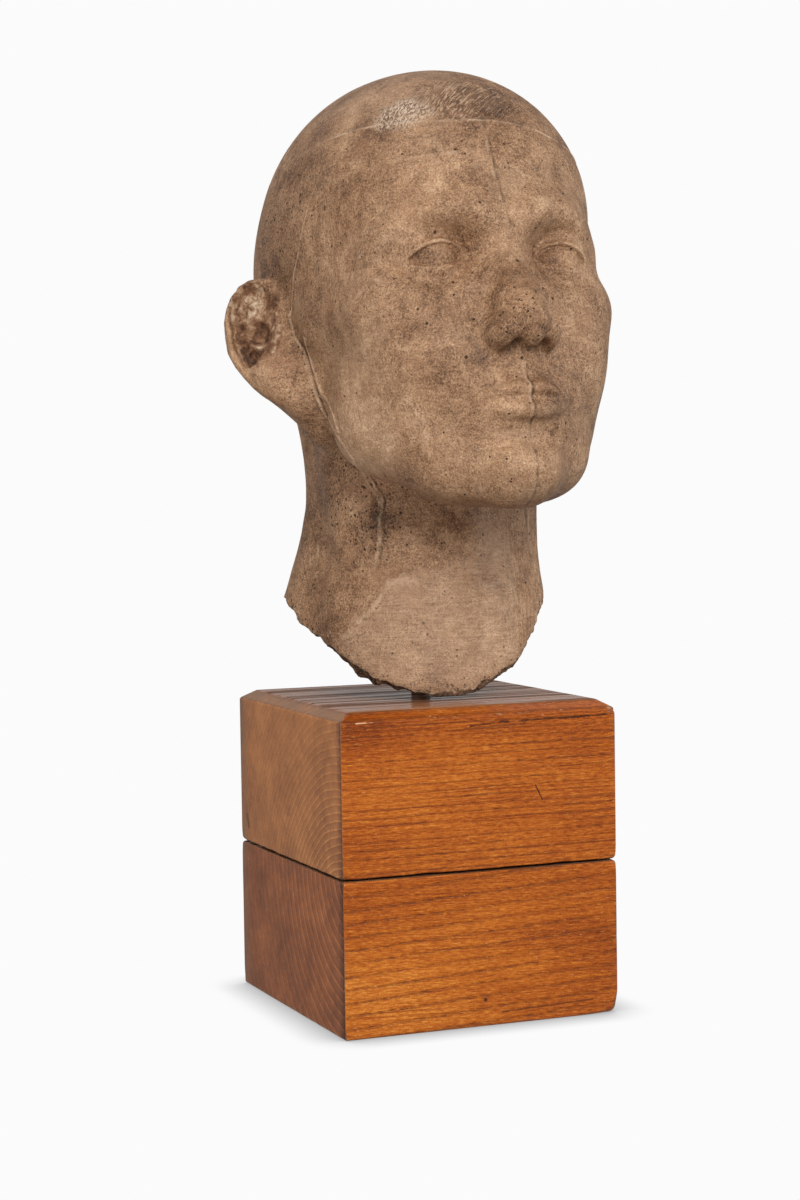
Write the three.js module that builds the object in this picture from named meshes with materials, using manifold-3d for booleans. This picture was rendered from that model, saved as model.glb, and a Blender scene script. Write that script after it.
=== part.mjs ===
// A life-size bald head and neck, cast in a brown composition and broken off along the neck,
// held by a dark round rod on a plinth of two varnished blocks of wood.
// Millimetres, +Z up. The plinth stands on z = 0 with its middle on the Z axis; its front is -Y,
// and the head looks towards -Y with its chin raised.
import * as THREE from "three";
import { ConvexGeometry } from "three/addons/geometries/ConvexGeometry.js";
import { mergeVertices } from "three/addons/utils/BufferGeometryUtils.js";
import Module from "manifold-3d";

const wasm = await Module();
wasm.setup();
const { Manifold, Mesh: Solid } = wasm;

// ---------------------------------------------------------------- named sizes
const GAP = 0.3; // clear space between neighbouring pieces

const PLINTH = {
  width: 148.5, // along X
  depth: 153.2, // along Y
  height: 160,
  seam: 78.3, // top of the lower block
  topPlan: 7, // chamfer round the top, measured in plan
  topHeight: 4.5, // and in height
  edge: 1.0, // small chamfer on the edges that meet at the seam
  foot: 1.4, // small chamfer on the bottom edges
};

const ROD = {
  radius: 5,
  inPlinth: 24, // length hidden in the upper block
  inNeck: 36, // length hidden in the neck
  segments: 24,
};

const HEAD = {
  at: [6, -9.5, 362], // middle of the head at eye level
  pitch: 12, // degrees, chin raised
  scale: 1.05, // on a 230 mm crown to chin
};

const NECK = {
  at: [10.5, 10],
  width: 113, // across, above the spread at the break
  depth: 96,
  spread: [13, 4], // how much wider and deeper it is at the break
  spreadFrom: 244,
  spreadOver: 46,
};

const BREAK = {
  tip: [0, -38, 161], // lowest point of the broken edge
  slope: 0.45, // rise towards the nape
  left: [0.0265, 1.7], // rise towards the head's left: factor and power
  right: [0.0026, 2], // and towards its right
  hangs: [[-40, 12, 3.2], [-24, 8, 1.2], [17, 8, 2.4]], // where it stays lower: x, half its width, by how much
  chip: 1.6, // depth of the larger chips
  rest: 160.6, // the tip ends level here, just clear of the plinth's top
};

// how closely the surface is stepped
const MESH = {
  around: 72, // steps round the head
  frontBias: 0.7, // 0 even, 1 all at the face
  proud: 0.45, // vertices stand this far out, so that the flat facets average to the surface
  dome: 8, // rows over the crown
  face: 29, // rows from the brow to the chin
  throat: 4,
  neck: 5,
  wall: 2, // rows down to the broken edge
  floor: 3, // rings on the broken face
  ear: [28, 12], // steps round an ear, and over it
};

// ---------------------------------------------------------------- distances
const sub = (a, b) => [a[0] - b[0], a[1] - b[1], a[2] - b[2]];
const dot = (a, b) => a[0] * b[0] + a[1] * b[1] + a[2] * b[2];
const len = (a) => Math.hypot(a[0], a[1], a[2]);
const unit = (a) => a.map((v) => v / len(a));
const cross = (a, b) => [
  a[1] * b[2] - a[2] * b[1],
  a[2] * b[0] - a[0] * b[2],
  a[0] * b[1] - a[1] * b[0],
];
const rad = (d) => (d * Math.PI) / 180;
const clamp = (v, lo, hi) => Math.min(hi, Math.max(lo, v));

// smooth union and smooth cut
function smin(a, b, k) {
  const h = Math.max(k - Math.abs(a - b), 0) / k;
  return Math.min(a, b) - h * h * k * 0.25;
}
const smax = (a, b, k) => -smin(-a, -b, k);

// rows of a rotation about X, then Y, then Z, in degrees
function rotation(ax, ay, az) {
  const [x, y, z] = [rad(ax), rad(ay), rad(az)];
  const [cx, sx, cy, sy, cz, sz] = [
    Math.cos(x), Math.sin(x), Math.cos(y), Math.sin(y), Math.cos(z), Math.sin(z),
  ];
  return [
    [cz * cy, cz * sy * sx - sz * cx, cz * sy * cx + sz * sx],
    [sz * cy, sz * sy * sx + cz * cx, sz * sy * cx - cz * sx],
    [-sy, cy * sx, cy * cx],
  ];
}
// a row vector times the matrix: from the outer axes to the inner ones
const into = (p, m) => [
  p[0] * m[0][0] + p[1] * m[1][0] + p[2] * m[2][0],
  p[0] * m[0][1] + p[1] * m[1][1] + p[2] * m[2][1],
  p[0] * m[0][2] + p[1] * m[1][2] + p[2] * m[2][2],
];

function ellipsoid(p, c, r, turn) {
  let q = sub(p, c);
  if (turn) q = into(q, turn);
  const k0 = Math.hypot(q[0] / r[0], q[1] / r[1], q[2] / r[2]);
  const k1 = Math.hypot(q[0] / (r[0] * r[0]), q[1] / (r[1] * r[1]), q[2] / (r[2] * r[2]));
  return (k0 * (k0 - 1)) / Math.max(k1, 1e-6);
}
// a rod from a to b whose radius runs from ra to rb
function taper(p, a, b, ra, rb) {
  const ab = sub(b, a), ap = sub(p, a);
  const t = clamp(dot(ap, ab) / dot(ab, ab), 0, 1);
  return len([ap[0] - t * ab[0], ap[1] - t * ab[1], ap[2] - t * ab[2]]) - (ra + t * (rb - ra));
}
function tube(p, pts, radii) {
  let d = Infinity;
  for (let i = 0; i + 1 < pts.length; i++)
    d = Math.min(d, taper(p, pts[i], pts[i + 1], radii[i], radii[i + 1]));
  return d;
}
const steps = (n, fn) => Array.from({ length: n }, (_, i) => fn(i / (n - 1)));
const bump = (t, at, width) => Math.exp(-(((t - at) / width) ** 2));

// ---------------------------------------------------------------- the head, in its own axes
// x to its left, y back, z up, from the middle of the head at eye level, on a 230 mm head.
// p is the point, q the same point folded onto the left half.
function skull(p) {
  let d = ellipsoid(p, [0, 13, 34], [77, 94, 82.4]);
  d = smin(d, ellipsoid(p, [0, -33, 34], [60, 59, 60]), 24); // forehead
  return smin(d, ellipsoid(p, [0, 50, 16], [62, 52, 50]), 28); // back of the head
}

function faceMass(p, q) {
  let d = ellipsoid(p, [0, -42, -24], [56, 50, 62]);
  d = smin(d, ellipsoid(p, [0, -46, -66], [41, 44, 44]), 22);
  let jaw = taper(q, [46, 0, -32], [42, -16, -66], 13, 14);
  jaw = smin(jaw, taper(q, [42, -16, -66], [27, -56, -90], 14, 13), 14);
  jaw = smin(jaw, taper(q, [27, -56, -90], [3, -76, -100], 13, 14), 14);
  d = smin(d, jaw, 22);
  d = smin(d, ellipsoid(q, [40, -30, -50], [19, 30, 34]), 24); // jaw muscle
  d = smin(d, ellipsoid(q, [44, -58, -19], [18, 18, 13]), 18); // cheekbone
  d = smin(d, taper(q, [50, -50, -17], [60, -8, -12], 9, 9), 20); // its arch to the ear
  return smin(d, ellipsoid(q, [30, -62, -42], [24, 22, 26]), 18); // cheek
}

const MOUTH_HALF = 25.5;
const LIP_STEPS = 11;
const UPPER_LIP = steps(LIP_STEPS, (t) => [
  MOUTH_HALF * t, -98.7 + 12.3 * t ** 2.1, -67.6 + 1.3 * bump(t, 0.24, 0.2) - 3.6 * t ** 1.8,
]);
const LOWER_LIP = steps(LIP_STEPS, (t) => [
  (MOUTH_HALF - 1) * t, -97.2 + 11.6 * t ** 2.1, -76 + 4.2 * t ** 2,
]);
const LIP_LINE = steps(LIP_STEPS, (t) => [
  MOUTH_HALF * t,
  -102.2 + 12.3 * t ** 2.1,
  -71 - 0.9 * bump(t, 0, 0.16) + 0.5 * Math.sin(t * Math.PI) - t ** 3,
]);
const UPPER_R = steps(LIP_STEPS, (t) => 3.7 + 0.5 * bump(t, 0.24, 0.2) - 2.7 * t ** 1.6);
const LOWER_R = steps(LIP_STEPS, (t) => 4.9 - 3.6 * t ** 1.8);
const LINE_R = steps(LIP_STEPS, (t) => 1.1 - 0.3 * t);
const BROW = [[2, -87.5, 14], [16, -88.5, 17], [30, -83, 18.5], [41, -73, 16], [48, -62, 9]];
const BROW_R = [7, 7, 6.5, 6.5, 6];
const SOCKET_TURN = rotation(0, 8, 0);
const NOSE_TURN = rotation(-16, 0, 0);
const WING_TURN = rotation(0, 0, -10);
const NOSTRIL_TURN = rotation(14, 0, -14);

function features(p, q, d) {
  d = smin(d, tube(q, BROW, BROW_R), 14);
  d = smax(d, -ellipsoid(q, [29.5, -98, -0.5], [17.5, 22, 12.5], SOCKET_TURN), 10);
  let nose = taper(p, [0, -84.5, 5], [0, -103.5, -34], 6.4, 7.4);
  nose = smin(nose, ellipsoid(p, [0, -91, -32], [14, 17, 19], NOSE_TURN), 8);
  nose = smin(nose, ellipsoid(p, [0, -106.6, -38.5], [8.5, 9.2, 8.1]), 6);
  nose = smin(nose, ellipsoid(q, [11.3, -98.5, -42], [6.4, 10.5, 7], WING_TURN), 4);
  nose = smin(nose, taper(p, [0, -110.5, -45], [0, -98, -49], 3, 4), 4);
  d = smin(d, nose, 5);
  d = smin(d, ellipsoid(p, [0, -66, -69], [31, 32, 24]), 14); // muzzle
  d = smin(d, ellipsoid(p, [0, -81.5, -101.5], [17, 16.5, 13.5]), 12); // chin
  d = smax(d, -taper(q, [0, -100.5, -88], [12, -97, -87], 4.2, 3), 7); // furrow over the chin
  d = smax(d, -taper(p, [0, -102.8, -51], [0, -105.8, -61], 2, 3.2), 4); // groove over the lip
  d = smin(d, tube(q, UPPER_LIP, UPPER_R), 2);
  d = smin(d, tube(q, LOWER_LIP, LOWER_R), 2.4);
  d = smax(d, -tube(q, LIP_LINE, LINE_R), 1.4);
  d = smax(d, -ellipsoid(q, [27.5, -92.5, -72.6], [2.2, 5, 3]), 4); // corners
  return smax(d, -ellipsoid(q, [6.6, -102.5, -49], [3.2, 6.2, 4.4], NOSTRIL_TURN), 2.2);
}

const EYE = { at: [31, -72, -1], r: 13.2, upperLid: 2.6, lowerLid: 1.7 };
const LID_FOLD = steps(7, (t) => {
  const a = rad(160 - t * 141);
  return [
    EYE.at[0] + 15.2 * Math.cos(a),
    EYE.at[1] - 11.3 - 1.5 * Math.sin(a) + 3.2 * (1 - Math.sin(a)),
    EYE.at[2] + 9.4 * Math.sin(a),
  ];
});
function eyes(q, d) {
  const r = len(sub(q, EYE.at));
  const dx = q[0] - EYE.at[0], dz = q[2] - EYE.at[2] + 0.04 * dx;
  const up = Math.hypot(dx + 1, dz + 22 - 5.4) - 22; // two arcs bound the opening
  const lo = Math.hypot(dx - 1, dz - 26 + 5.2) - 26;
  const opening = smax(up, lo, 1.6);
  const upper = smax(r - (EYE.r + EYE.upperLid), -(dz + 0.5), 2);
  const lower = smax(r - (EYE.r + EYE.lowerLid), dz - 0.5, 2);
  const lids = smax(smin(upper, lower, 1), -Math.max(opening, q[1] - EYE.at[1]), 0.9);
  d = smin(d, lids, 3.4);
  d = smax(d, -tube(q, LID_FOLD, LID_FOLD.map(() => 1.2)), 1.6);
  return smin(d, r - EYE.r, 0.8);
}

// ---------------------------------------------------------------- the ear
const EAR = { at: [80, 21, -16], out: 47, lean: 13 };
function earAxes(side) {
  const up = unit([side * 0.1, Math.sin(rad(EAR.lean)), Math.cos(rad(EAR.lean))]);
  let back = [side * Math.sin(rad(EAR.out)), Math.cos(rad(EAR.out)), 0];
  const s = dot(back, up);
  back = unit([back[0] - s * up[0], back[1] - s * up[1], back[2] - s * up[2]]);
  let out = cross(back, up);
  if (out[0] * side < 0) out = out.map((v) => -v);
  return { up, back, out };
}
// The ears are worn smooth and partly filled: a rim round a shallow hollow, with the lower third
// level and run into the jaw.
const RIM = Array.from({ length: 17 }, (_, i) => {
  const t = 196 - (i * 242) / 16, low = clamp(-t / 46, 0, 1), a = rad(t);
  return {
    p: [
      (17.5 - 2 * low) * Math.cos(a),
      4 + 28.5 * Math.sin(a),
      1.6 + 0.9 * Math.cos(a) - 1.8 * low,
    ],
    r: 3.5 - (0.9 * i) / 16 - 0.5 * low,
  };
});
const RIM_P = RIM.map((s) => s.p), RIM_R = RIM.map((s) => s.r);
const GROOVE = [[10.5, 25, 4.6], [12, 14, 2], [12.4, 4, 2], [10.6, -5, 3.6]];
const GROOVE_R = [1.4, 2.4, 2.5, 1.6];
const SWELL_TURN = rotation(0, 0, 12);
// e: back, up and out of the head, from the middle of the ear
function ear(e) {
  let d = ellipsoid(e, [0, 3, -2.2], [17.5, 28.5, 4.6]); // leaf
  d = smin(d, taper(e, [2, -12, -1.2], [-8.5, -34, -4], 8.5, 7.5), 8); // narrowing to the jaw
  d = smin(d, taper(e, [-6, -26, -9], [-10, -42, -17], 9, 9), 8); // filled behind
  d = smin(d, ellipsoid(e, [-10, 0, -1.2], [9, 23, 6]), 7); // front side, filled level
  d = smin(d, ellipsoid(e, [-1.5, -14, -0.8], [11, 13, 5.2]), 6); // lower part, filled
  d = smax(d, -ellipsoid(e, [2.5, 14.5, 6.6], [11, 18, 7.2]), 2.6); // hollow
  d = smin(d, tube(e, RIM_P, RIM_R), 2);
  d = smin(d, ellipsoid(e, [1, 20, -1.4], [6.5, 10.5, 3], SWELL_TURN), 3); // worn inner fold
  d = smax(d, -tube(e, GROOVE, GROOVE_R), 2.2);
  d = smax(d, -ellipsoid(e, [1.2, 6.5, 2], [5.2, 6.6, 6.5]), 2); // two deeper holes
  d = smax(d, -ellipsoid(e, [8, -3.2, 2.6], [4.8, 4.4, 6]), 2);
  d = smin(d, ellipsoid(e, [-9, -1, -11], [12, 23, 12]), 7); // where it joins the head
  return smin(d, ellipsoid(e, [-15, -24, -9], [10, 17, 8]), 8); // the notch before it, filled
}

// ---------------------------------------------------------------- neck, in the part's axes
function neck(P) {
  const x = P[0] - NECK.at[0], y = P[1] - NECK.at[1], z = P[2];
  const p = [x, y, z], q = [Math.sqrt(x * x + 2), y, z];
  const t = clamp((NECK.spreadFrom - z) / NECK.spreadOver, 0, 1);
  const f = t * t * (3 - 2 * t);
  const rx = (NECK.width + NECK.spread[0] * f) / 2, ry = (NECK.depth + NECK.spread[1] * f) / 2;
  let d = (Math.hypot(x / rx, y / ry) - 1) * Math.min(rx, ry);
  d = smax(d, z - 322, 30);
  d = smin(d, taper(q, [48, 12, 320], [22, -35, 170], 13, 10), 16); // cord from ear to throat
  d = smin(d, taper(q, [28, 34, 320], [40, 34, 225], 20, 18), 20); // back of the neck
  d = smin(d, taper(q, [38, 32, 322], [34, 34, 268], 26.5, 17), 8); // its spread behind the ear
  d = smin(d, taper(q, [38, 26, 236], [49.5, 34, 196], 14, 23), 20); // its spread at the break
  return smin(d, ellipsoid(p, [0, -40, 238], [10, 10, 16]), 14); // throat
}

// uneven ground of the broken edge: a few waves that never repeat over the neck
function ragged(P) {
  const [x, y] = P;
  return (
    BREAK.chip *
    (0.9 * Math.sin(0.11 * x + 0.7 * Math.sin(0.07 * y)) * Math.sin(0.13 * y + 1.1) +
      0.55 * Math.sin(0.31 * x + 0.19 * y + 0.8 * Math.sin(0.23 * y)) +
      0.35 * Math.sin(0.47 * y - 0.38 * x + 2.0))
  );
}
// above zero below the break
function broken(P) {
  const [x, y, z] = sub(P, BREAK.tip);
  const [f, n] = x > 0 ? BREAK.left : BREAK.right;
  const away = clamp(Math.hypot(x, y) / 18 - 0.2, 0, 1); // the tip itself stays put
  const hang = BREAK.hangs.reduce((sum, [at, width, drop]) => sum + drop * Math.exp(-(((x - at) / width) ** 2)), 0);
  const edge = (BREAK.slope * y + f * Math.abs(x) ** n - hang - z) * 0.85 + ragged(P) * away;
  return Math.max(edge, BREAK.rest + MESH.proud - P[2]);
}

const TILT = rotation(-HEAD.pitch, 0, 0);
const toHead = (P) => into(sub(P, HEAD.at), TILT).map((v) => v / HEAD.scale);
const fromHead = (p) => [0, 1, 2].map(
  (i) => HEAD.at[i] + HEAD.scale * (TILT[i][0] * p[0] + TILT[i][1] * p[1] + TILT[i][2] * p[2]),
);

// Head and neck without the ears, before the break.
function whole(P) {
  const p = toHead(P), q = [Math.sqrt(p[0] * p[0] + 1.44), p[1], p[2]];
  let d = smin(skull(p), faceMass(p, q), 22);
  if (p[1] < -45 && p[2] < 45 && p[2] > -125 && Math.abs(d) < 30) d = eyes(q, features(p, q, d));
  return smin(d * HEAD.scale, neck(P), 16);
}

// ---------------------------------------------------------------- stepping over the surface
// Distance along a ray from o to the outermost place that is less than MESH.proud outside fn.
function reach(fn, o, dir, far) {
  const at = (r) => fn([o[0] + dir[0] * r, o[1] + dir[1] * r, o[2] + dir[2] * r]) - MESH.proud;
  let r = far, d = at(r);
  while (d > 0.01 && r > 0.5) {
    r -= clamp(d * 0.6, 0.05, 8);
    d = at(r);
  }
  let lo = r, hi = r + 0.6;
  for (let i = 0; i < 18; i++) {
    const m = (lo + hi) / 2;
    if (at(m) > 0) hi = m;
    else lo = m;
  }
  return lo;
}

// steps round, closest together at the face; 0 is the front, then towards the head's left
const AROUND = Array.from({ length: MESH.around }, (_, i) => {
  const u = (2 * i) / MESH.around - 1;
  return Math.PI * ((1 - MESH.frontBias) * u + MESH.frontBias * u ** 3);
});
const level = (a) => [Math.sin(a), -Math.cos(a)]; // a in plan, 0 towards -Y

// The rows run from the crown down. Each has an origin on the spine and a slope by which its
// plane drops towards the front, so that they rise a little to the brow, pass under the chin and
// run along the break without crossing.
const SPINE = {
  brow: { x: 6, y: 6, z: 372, slope: -0.22 },
  chin: { x: 7, y: 8, z: 301, slope: 0.45 },
  throat: { x: 8, y: 8, z: 277, slope: 0.52 },
  foot: { x: 9, y: 6, z: 226, slope: 0.52 },
};

// rows of the face stand closer at the eyes and from the nose to the mouth
const FACE_ROWS = (() => {
  const wanted = (t) => 1 + 1.2 * bump(t, 0.15, 0.08) + 0.9 * bump(t, 0.55, 0.15);
  const fine = 400, sums = [0];
  for (let i = 0; i < fine; i++) sums.push(sums[i] + wanted((i + 0.5) / fine));
  return Array.from({ length: MESH.face }, (_, i) => {
    const goal = (sums[fine] * i) / MESH.face;
    return sums.findIndex((v) => v >= goal) / fine;
  });
})();

function rows() {
  const out = [];
  const ray = (o, a, tilt) => {
    const [x, y] = level(a);
    return { o, dir: unit([x, y, tilt]) };
  };
  for (let i = 1; i < MESH.dome; i++) {
    const t = i / MESH.dome, { x, y, z, slope } = SPINE.brow;
    const lift = (a) => (Math.PI / 2) * (1 - t) + Math.atan(-slope * Math.cos(a)) * t;
    out.push(AROUND.map((a) => ray([x, y, z], a, Math.tan(lift(a)))));
  }
  const band = (n, from, to, places) => {
    for (let i = 0; i < n; i++) {
      const t = places ? places[i] : i / n, mix = (k) => from[k] + (to[k] - from[k]) * t;
      const o = [mix("x"), mix("y"), mix("z")], s = mix("slope");
      out.push(AROUND.map((a) => ray(o, a, -s * Math.cos(a))));
    }
  };
  band(MESH.face, SPINE.brow, SPINE.chin, FACE_ROWS);
  band(MESH.throat, SPINE.chin, SPINE.throat);
  band(MESH.neck, SPINE.throat, SPINE.foot);
  return out;
}

// A closed geometry as a solid that can be joined and cut.
function solid(geometry) {
  const g = new THREE.BufferGeometry();
  g.setAttribute("position", geometry.getAttribute("position"));
  if (geometry.index) g.setIndex(geometry.index);
  const merged = mergeVertices(g, 1e-4);
  return new Manifold(
    new Solid({
      numProp: 3,
      vertProperties: new Float32Array(merged.attributes.position.array),
      triVerts: new Uint32Array(merged.index.array),
    }),
  );
}

// Closes rings of equal length, with a point above the first and one below the last.
function closedRings(top, rings, bottom) {
  const n = rings[0].length, v = [...top], f = [];
  rings.forEach((ring) => ring.forEach((p) => v.push(...p)));
  v.push(...bottom);
  const id = (r, i) => 1 + r * n + ((i + n) % n), last = 1 + rings.length * n;
  for (let i = 0; i < n; i++) {
    f.push(0, id(0, i), id(0, i + 1));
    for (let r = 0; r + 1 < rings.length; r++) {
      const [a, b, c, d] = [id(r, i), id(r, i + 1), id(r + 1, i + 1), id(r + 1, i)];
      const P = (k) => v.slice(3 * k, 3 * k + 3);
      // the shorter diagonal follows the surface better
      if (len(sub(P(a), P(c))) < len(sub(P(b), P(d)))) f.push(a, d, c, a, c, b);
      else f.push(a, d, b, b, d, c);
    }
    f.push(last, id(rings.length - 1, i + 1), id(rings.length - 1, i));
  }
  const g = new THREE.BufferGeometry();
  g.setAttribute("position", new THREE.BufferAttribute(new Float32Array(v), 3));
  g.setIndex(f);
  return g;
}

function headSolid() {
  const on = (fn, { o, dir }, far) => {
    const r = reach(fn, o, dir, far);
    return [o[0] + dir[0] * r, o[1] + dir[1] * r, o[2] + dir[2] * r];
  };
  const rings = rows().map((row) => row.map((r) => on(whole, r, 190)));

  // below the last row the rays turn downwards from the foot of the spine
  const foot = [SPINE.foot.x, SPINE.foot.y, SPINE.foot.z];
  const body = (P) => Math.max(whole(P), broken(P));
  const down = (a, t) => {
    const e = Math.atan(-SPINE.foot.slope * Math.cos(a));
    const turn = e + (-Math.PI / 2 - e) * t;
    const [x, y] = level(a);
    return { o: foot, dir: [x * Math.cos(turn), y * Math.cos(turn), Math.sin(turn)] };
  };
  const rim = AROUND.map((a) => {
    let lo = 0, hi = 1;
    for (let i = 0; i < 22; i++) {
      const t = (lo + hi) / 2, P = on(body, down(a, t), 120);
      if (whole(P) > broken(P)) lo = t;
      else hi = t;
    }
    return lo;
  });
  for (let i = 0; i <= MESH.wall; i++)
    rings.push(AROUND.map((a, k) => on(body, down(a, (rim[k] * i) / MESH.wall), 120)));
  for (let i = 1; i <= MESH.floor; i++)
    rings.push(
      AROUND.map((a, k) => on(body, down(a, rim[k] + ((1 - rim[k]) * i) / (MESH.floor + 1)), 120)),
    );
  const { x, y, z } = SPINE.brow;
  const top = on(whole, { o: [x, y, z], dir: [0, 0, 1] }, 190);
  const bottom = on(body, { o: foot, dir: [0, 0, -1] }, 120);
  return solid(closedRings(top, rings, bottom));
}

// one ear: rings round its own outward axis, from a point inside it
function earSolid(side) {
  const { up, back, out } = earAxes(side);
  const inside = [-5, 2, -6], [turns, bands] = MESH.ear;
  const place = (e) =>
    fromHead([0, 1, 2].map(
      (i) => (i ? 1 : side) * EAR.at[i] + back[i] * e[0] + up[i] * e[1] + out[i] * e[2],
    ));
  const fn = (e) => ear(e) * HEAD.scale;
  const hit = (polar, a) => {
    // side keeps the turn of the rings the same way out on both ears
    const dir = [Math.sin(polar) * Math.cos(a), side * Math.sin(polar) * Math.sin(a), Math.cos(polar)];
    const r = reach(fn, inside, dir, 60);
    return place([inside[0] + dir[0] * r, inside[1] + dir[1] * r, inside[2] + dir[2] * r]);
  };
  const rings = [];
  for (let j = 1; j < bands; j++) {
    // closest where the rim stands, just short of square to the axis
    const t = j / bands, polar = Math.PI * (t + 0.09 * Math.sin(2 * Math.PI * t));
    rings.push(Array.from({ length: turns }, (_, i) => hit(polar, (2 * Math.PI * i) / turns)));
  }
  return solid(closedRings(hit(1e-4, 0), rings, hit(Math.PI - 1e-4, 0)));
}

// ---------------------------------------------------------------- plinth and rod
// A rectangular block built of level outlines: [height, inset from the full size].
function block(outlines) {
  const pts = [];
  outlines.forEach(([z, inset]) => {
    const x = PLINTH.width / 2 - inset, y = PLINTH.depth / 2 - inset;
    pts.push([x, y, z], [-x, y, z], [-x, -y, z], [x, -y, z]);
  });
  return solid(new ConvexGeometry(pts.map((p) => new THREE.Vector3(...p))));
}
// A round bar along Z, with its ends eased.
function pillar(r, z0, z1, ease = 0.01) {
  const profile = [[0, z0], [r - ease, z0], [r, z0 + ease], [r, z1 - ease], [r - ease, z1], [0, z1]];
  const g = new THREE.LatheGeometry(
    profile.map(([x, y]) => new THREE.Vector2(x, y)),
    ROD.segments,
  );
  return solid(g.rotateX(Math.PI / 2));
}

const rodFoot = PLINTH.height - ROD.inPlinth;
const rodTop = 196 + ROD.inNeck;
const rod = pillar(ROD.radius, rodFoot, rodTop, 0.6);

const lower = block([
  [0, PLINTH.foot],
  [PLINTH.foot, 0],
  [PLINTH.seam - PLINTH.edge, 0],
  [PLINTH.seam, PLINTH.edge],
]);
const upper = block([
  [PLINTH.seam + GAP, PLINTH.edge],
  [PLINTH.seam + GAP + PLINTH.edge, 0],
  [PLINTH.height - PLINTH.topHeight, 0],
  [PLINTH.height, PLINTH.topPlan],
]).subtract(pillar(ROD.radius + GAP, rodFoot - GAP, PLINTH.height + 1));

const head = headSolid()
  .add(earSolid(1))
  .add(earSolid(-1))
  .subtract(pillar(ROD.radius + GAP, 150, rodTop + GAP));

// ---------------------------------------------------------------- the group
// Every piece is worked out in the part's axes, then moved back to a reference point of its own,
// where its mesh is placed.
function piece(group, name, body, at, look) {
  const m = body.getMesh();
  const pos = new Float32Array(m.numVert * 3);
  for (let i = 0; i < m.numVert; i++)
    pos.set(m.vertProperties.subarray(i * m.numProp, i * m.numProp + 3), i * 3);
  const g = new THREE.BufferGeometry();
  g.setAttribute("position", new THREE.BufferAttribute(pos, 3));
  g.setIndex(new THREE.BufferAttribute(new Uint32Array(m.triVerts), 1));
  g.translate(-at[0], -at[1], -at[2]);
  g.computeVertexNormals();
  const mesh = new THREE.Mesh(g, new THREE.MeshStandardMaterial(look));
  mesh.name = name;
  mesh.position.set(...at).sub(group.position);
  group.add(mesh);
}

const part = new THREE.Group();
part.name = "head_on_plinth";

const plinth = new THREE.Group();
plinth.name = "plinth";
const wood = { color: 0x9a5a2c, roughness: 0.3 };
piece(plinth, "plinth_lower_block", lower, [0, 0, 0], wood);
piece(plinth, "plinth_upper_block", upper, [0, 0, PLINTH.seam + GAP], wood);
part.add(plinth);

const mounted = new THREE.Group();
mounted.name = "mounted_head";
mounted.position.set(0, 0, PLINTH.height);
const steel = { color: 0x2b2724, roughness: 0.45, metalness: 0.8 };
piece(mounted, "mounting_rod", rod, [0, 0, rodFoot], steel);
piece(mounted, "head", head, HEAD.at, { color: 0x96785f, roughness: 0.55 });
part.add(mounted);

export default part;
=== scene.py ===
# A life-size bald head and neck in brown cast composition, broken off along the neck and held by a
# dark rod over a plinth of two varnished blocks of wood, on a plain white floor in soft light.
import math

import bpy
import numpy as np
from mathutils import Matrix, Vector


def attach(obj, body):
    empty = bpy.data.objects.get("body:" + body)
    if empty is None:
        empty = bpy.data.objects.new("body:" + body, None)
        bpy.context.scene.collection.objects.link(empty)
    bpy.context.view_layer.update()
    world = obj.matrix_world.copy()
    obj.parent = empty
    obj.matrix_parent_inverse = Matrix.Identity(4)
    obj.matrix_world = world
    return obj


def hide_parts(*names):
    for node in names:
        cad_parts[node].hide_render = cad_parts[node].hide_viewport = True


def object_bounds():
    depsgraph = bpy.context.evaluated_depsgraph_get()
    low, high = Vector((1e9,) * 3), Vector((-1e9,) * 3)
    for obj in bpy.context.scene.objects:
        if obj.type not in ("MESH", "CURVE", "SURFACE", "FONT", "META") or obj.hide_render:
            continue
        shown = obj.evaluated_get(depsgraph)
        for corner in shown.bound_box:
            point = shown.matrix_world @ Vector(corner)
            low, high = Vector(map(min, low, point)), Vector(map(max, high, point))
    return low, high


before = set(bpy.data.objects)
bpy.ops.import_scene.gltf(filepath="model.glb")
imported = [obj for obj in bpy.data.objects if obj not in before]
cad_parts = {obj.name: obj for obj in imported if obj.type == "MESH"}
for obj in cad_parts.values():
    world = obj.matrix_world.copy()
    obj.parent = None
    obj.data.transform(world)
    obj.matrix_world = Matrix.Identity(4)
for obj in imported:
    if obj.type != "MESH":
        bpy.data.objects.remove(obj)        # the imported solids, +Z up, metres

cad_box = [[float(v) for v in corner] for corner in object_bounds()]
MM = 0.001

# ================================================================ camera and light
scene = bpy.context.scene
scene.view_settings.view_transform = "Standard"
scene.view_settings.look = "None"
scene.view_settings.exposure = 0.0
scene.view_settings.gamma = 1.0

CAM_AT = (-0.491905, -1.184222, 0.280616)
CAM_YAW, CAM_PITCH, CAM_ROLL = 22.106, -3.188, -0.866    # degrees: turned right, down, rolled
CAM_FOCAL = 73.91                                        # mm on a 36 mm long side


def make_camera():
    y, p, r = (math.radians(v) for v in (CAM_YAW, CAM_PITCH, CAM_ROLL))
    ahead = Vector((math.sin(y) * math.cos(p), math.cos(y) * math.cos(p), math.sin(p)))
    right = Vector((math.cos(y), -math.sin(y), 0))
    up = right.cross(ahead)
    right, up = math.cos(r) * right + math.sin(r) * up, math.cos(r) * up - math.sin(r) * right
    data = bpy.data.cameras.new("camera")
    data.sensor_fit = "AUTO"
    data.sensor_width = 36.0
    data.lens = CAM_FOCAL
    data.clip_start, data.clip_end = 0.05, 50
    cam = bpy.data.objects.new("camera", data)
    scene.collection.objects.link(cam)
    m = Matrix((right, up, -ahead)).transposed().to_4x4()
    m.translation = Vector(CAM_AT)
    cam.matrix_world = m
    scene.camera = cam


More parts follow.
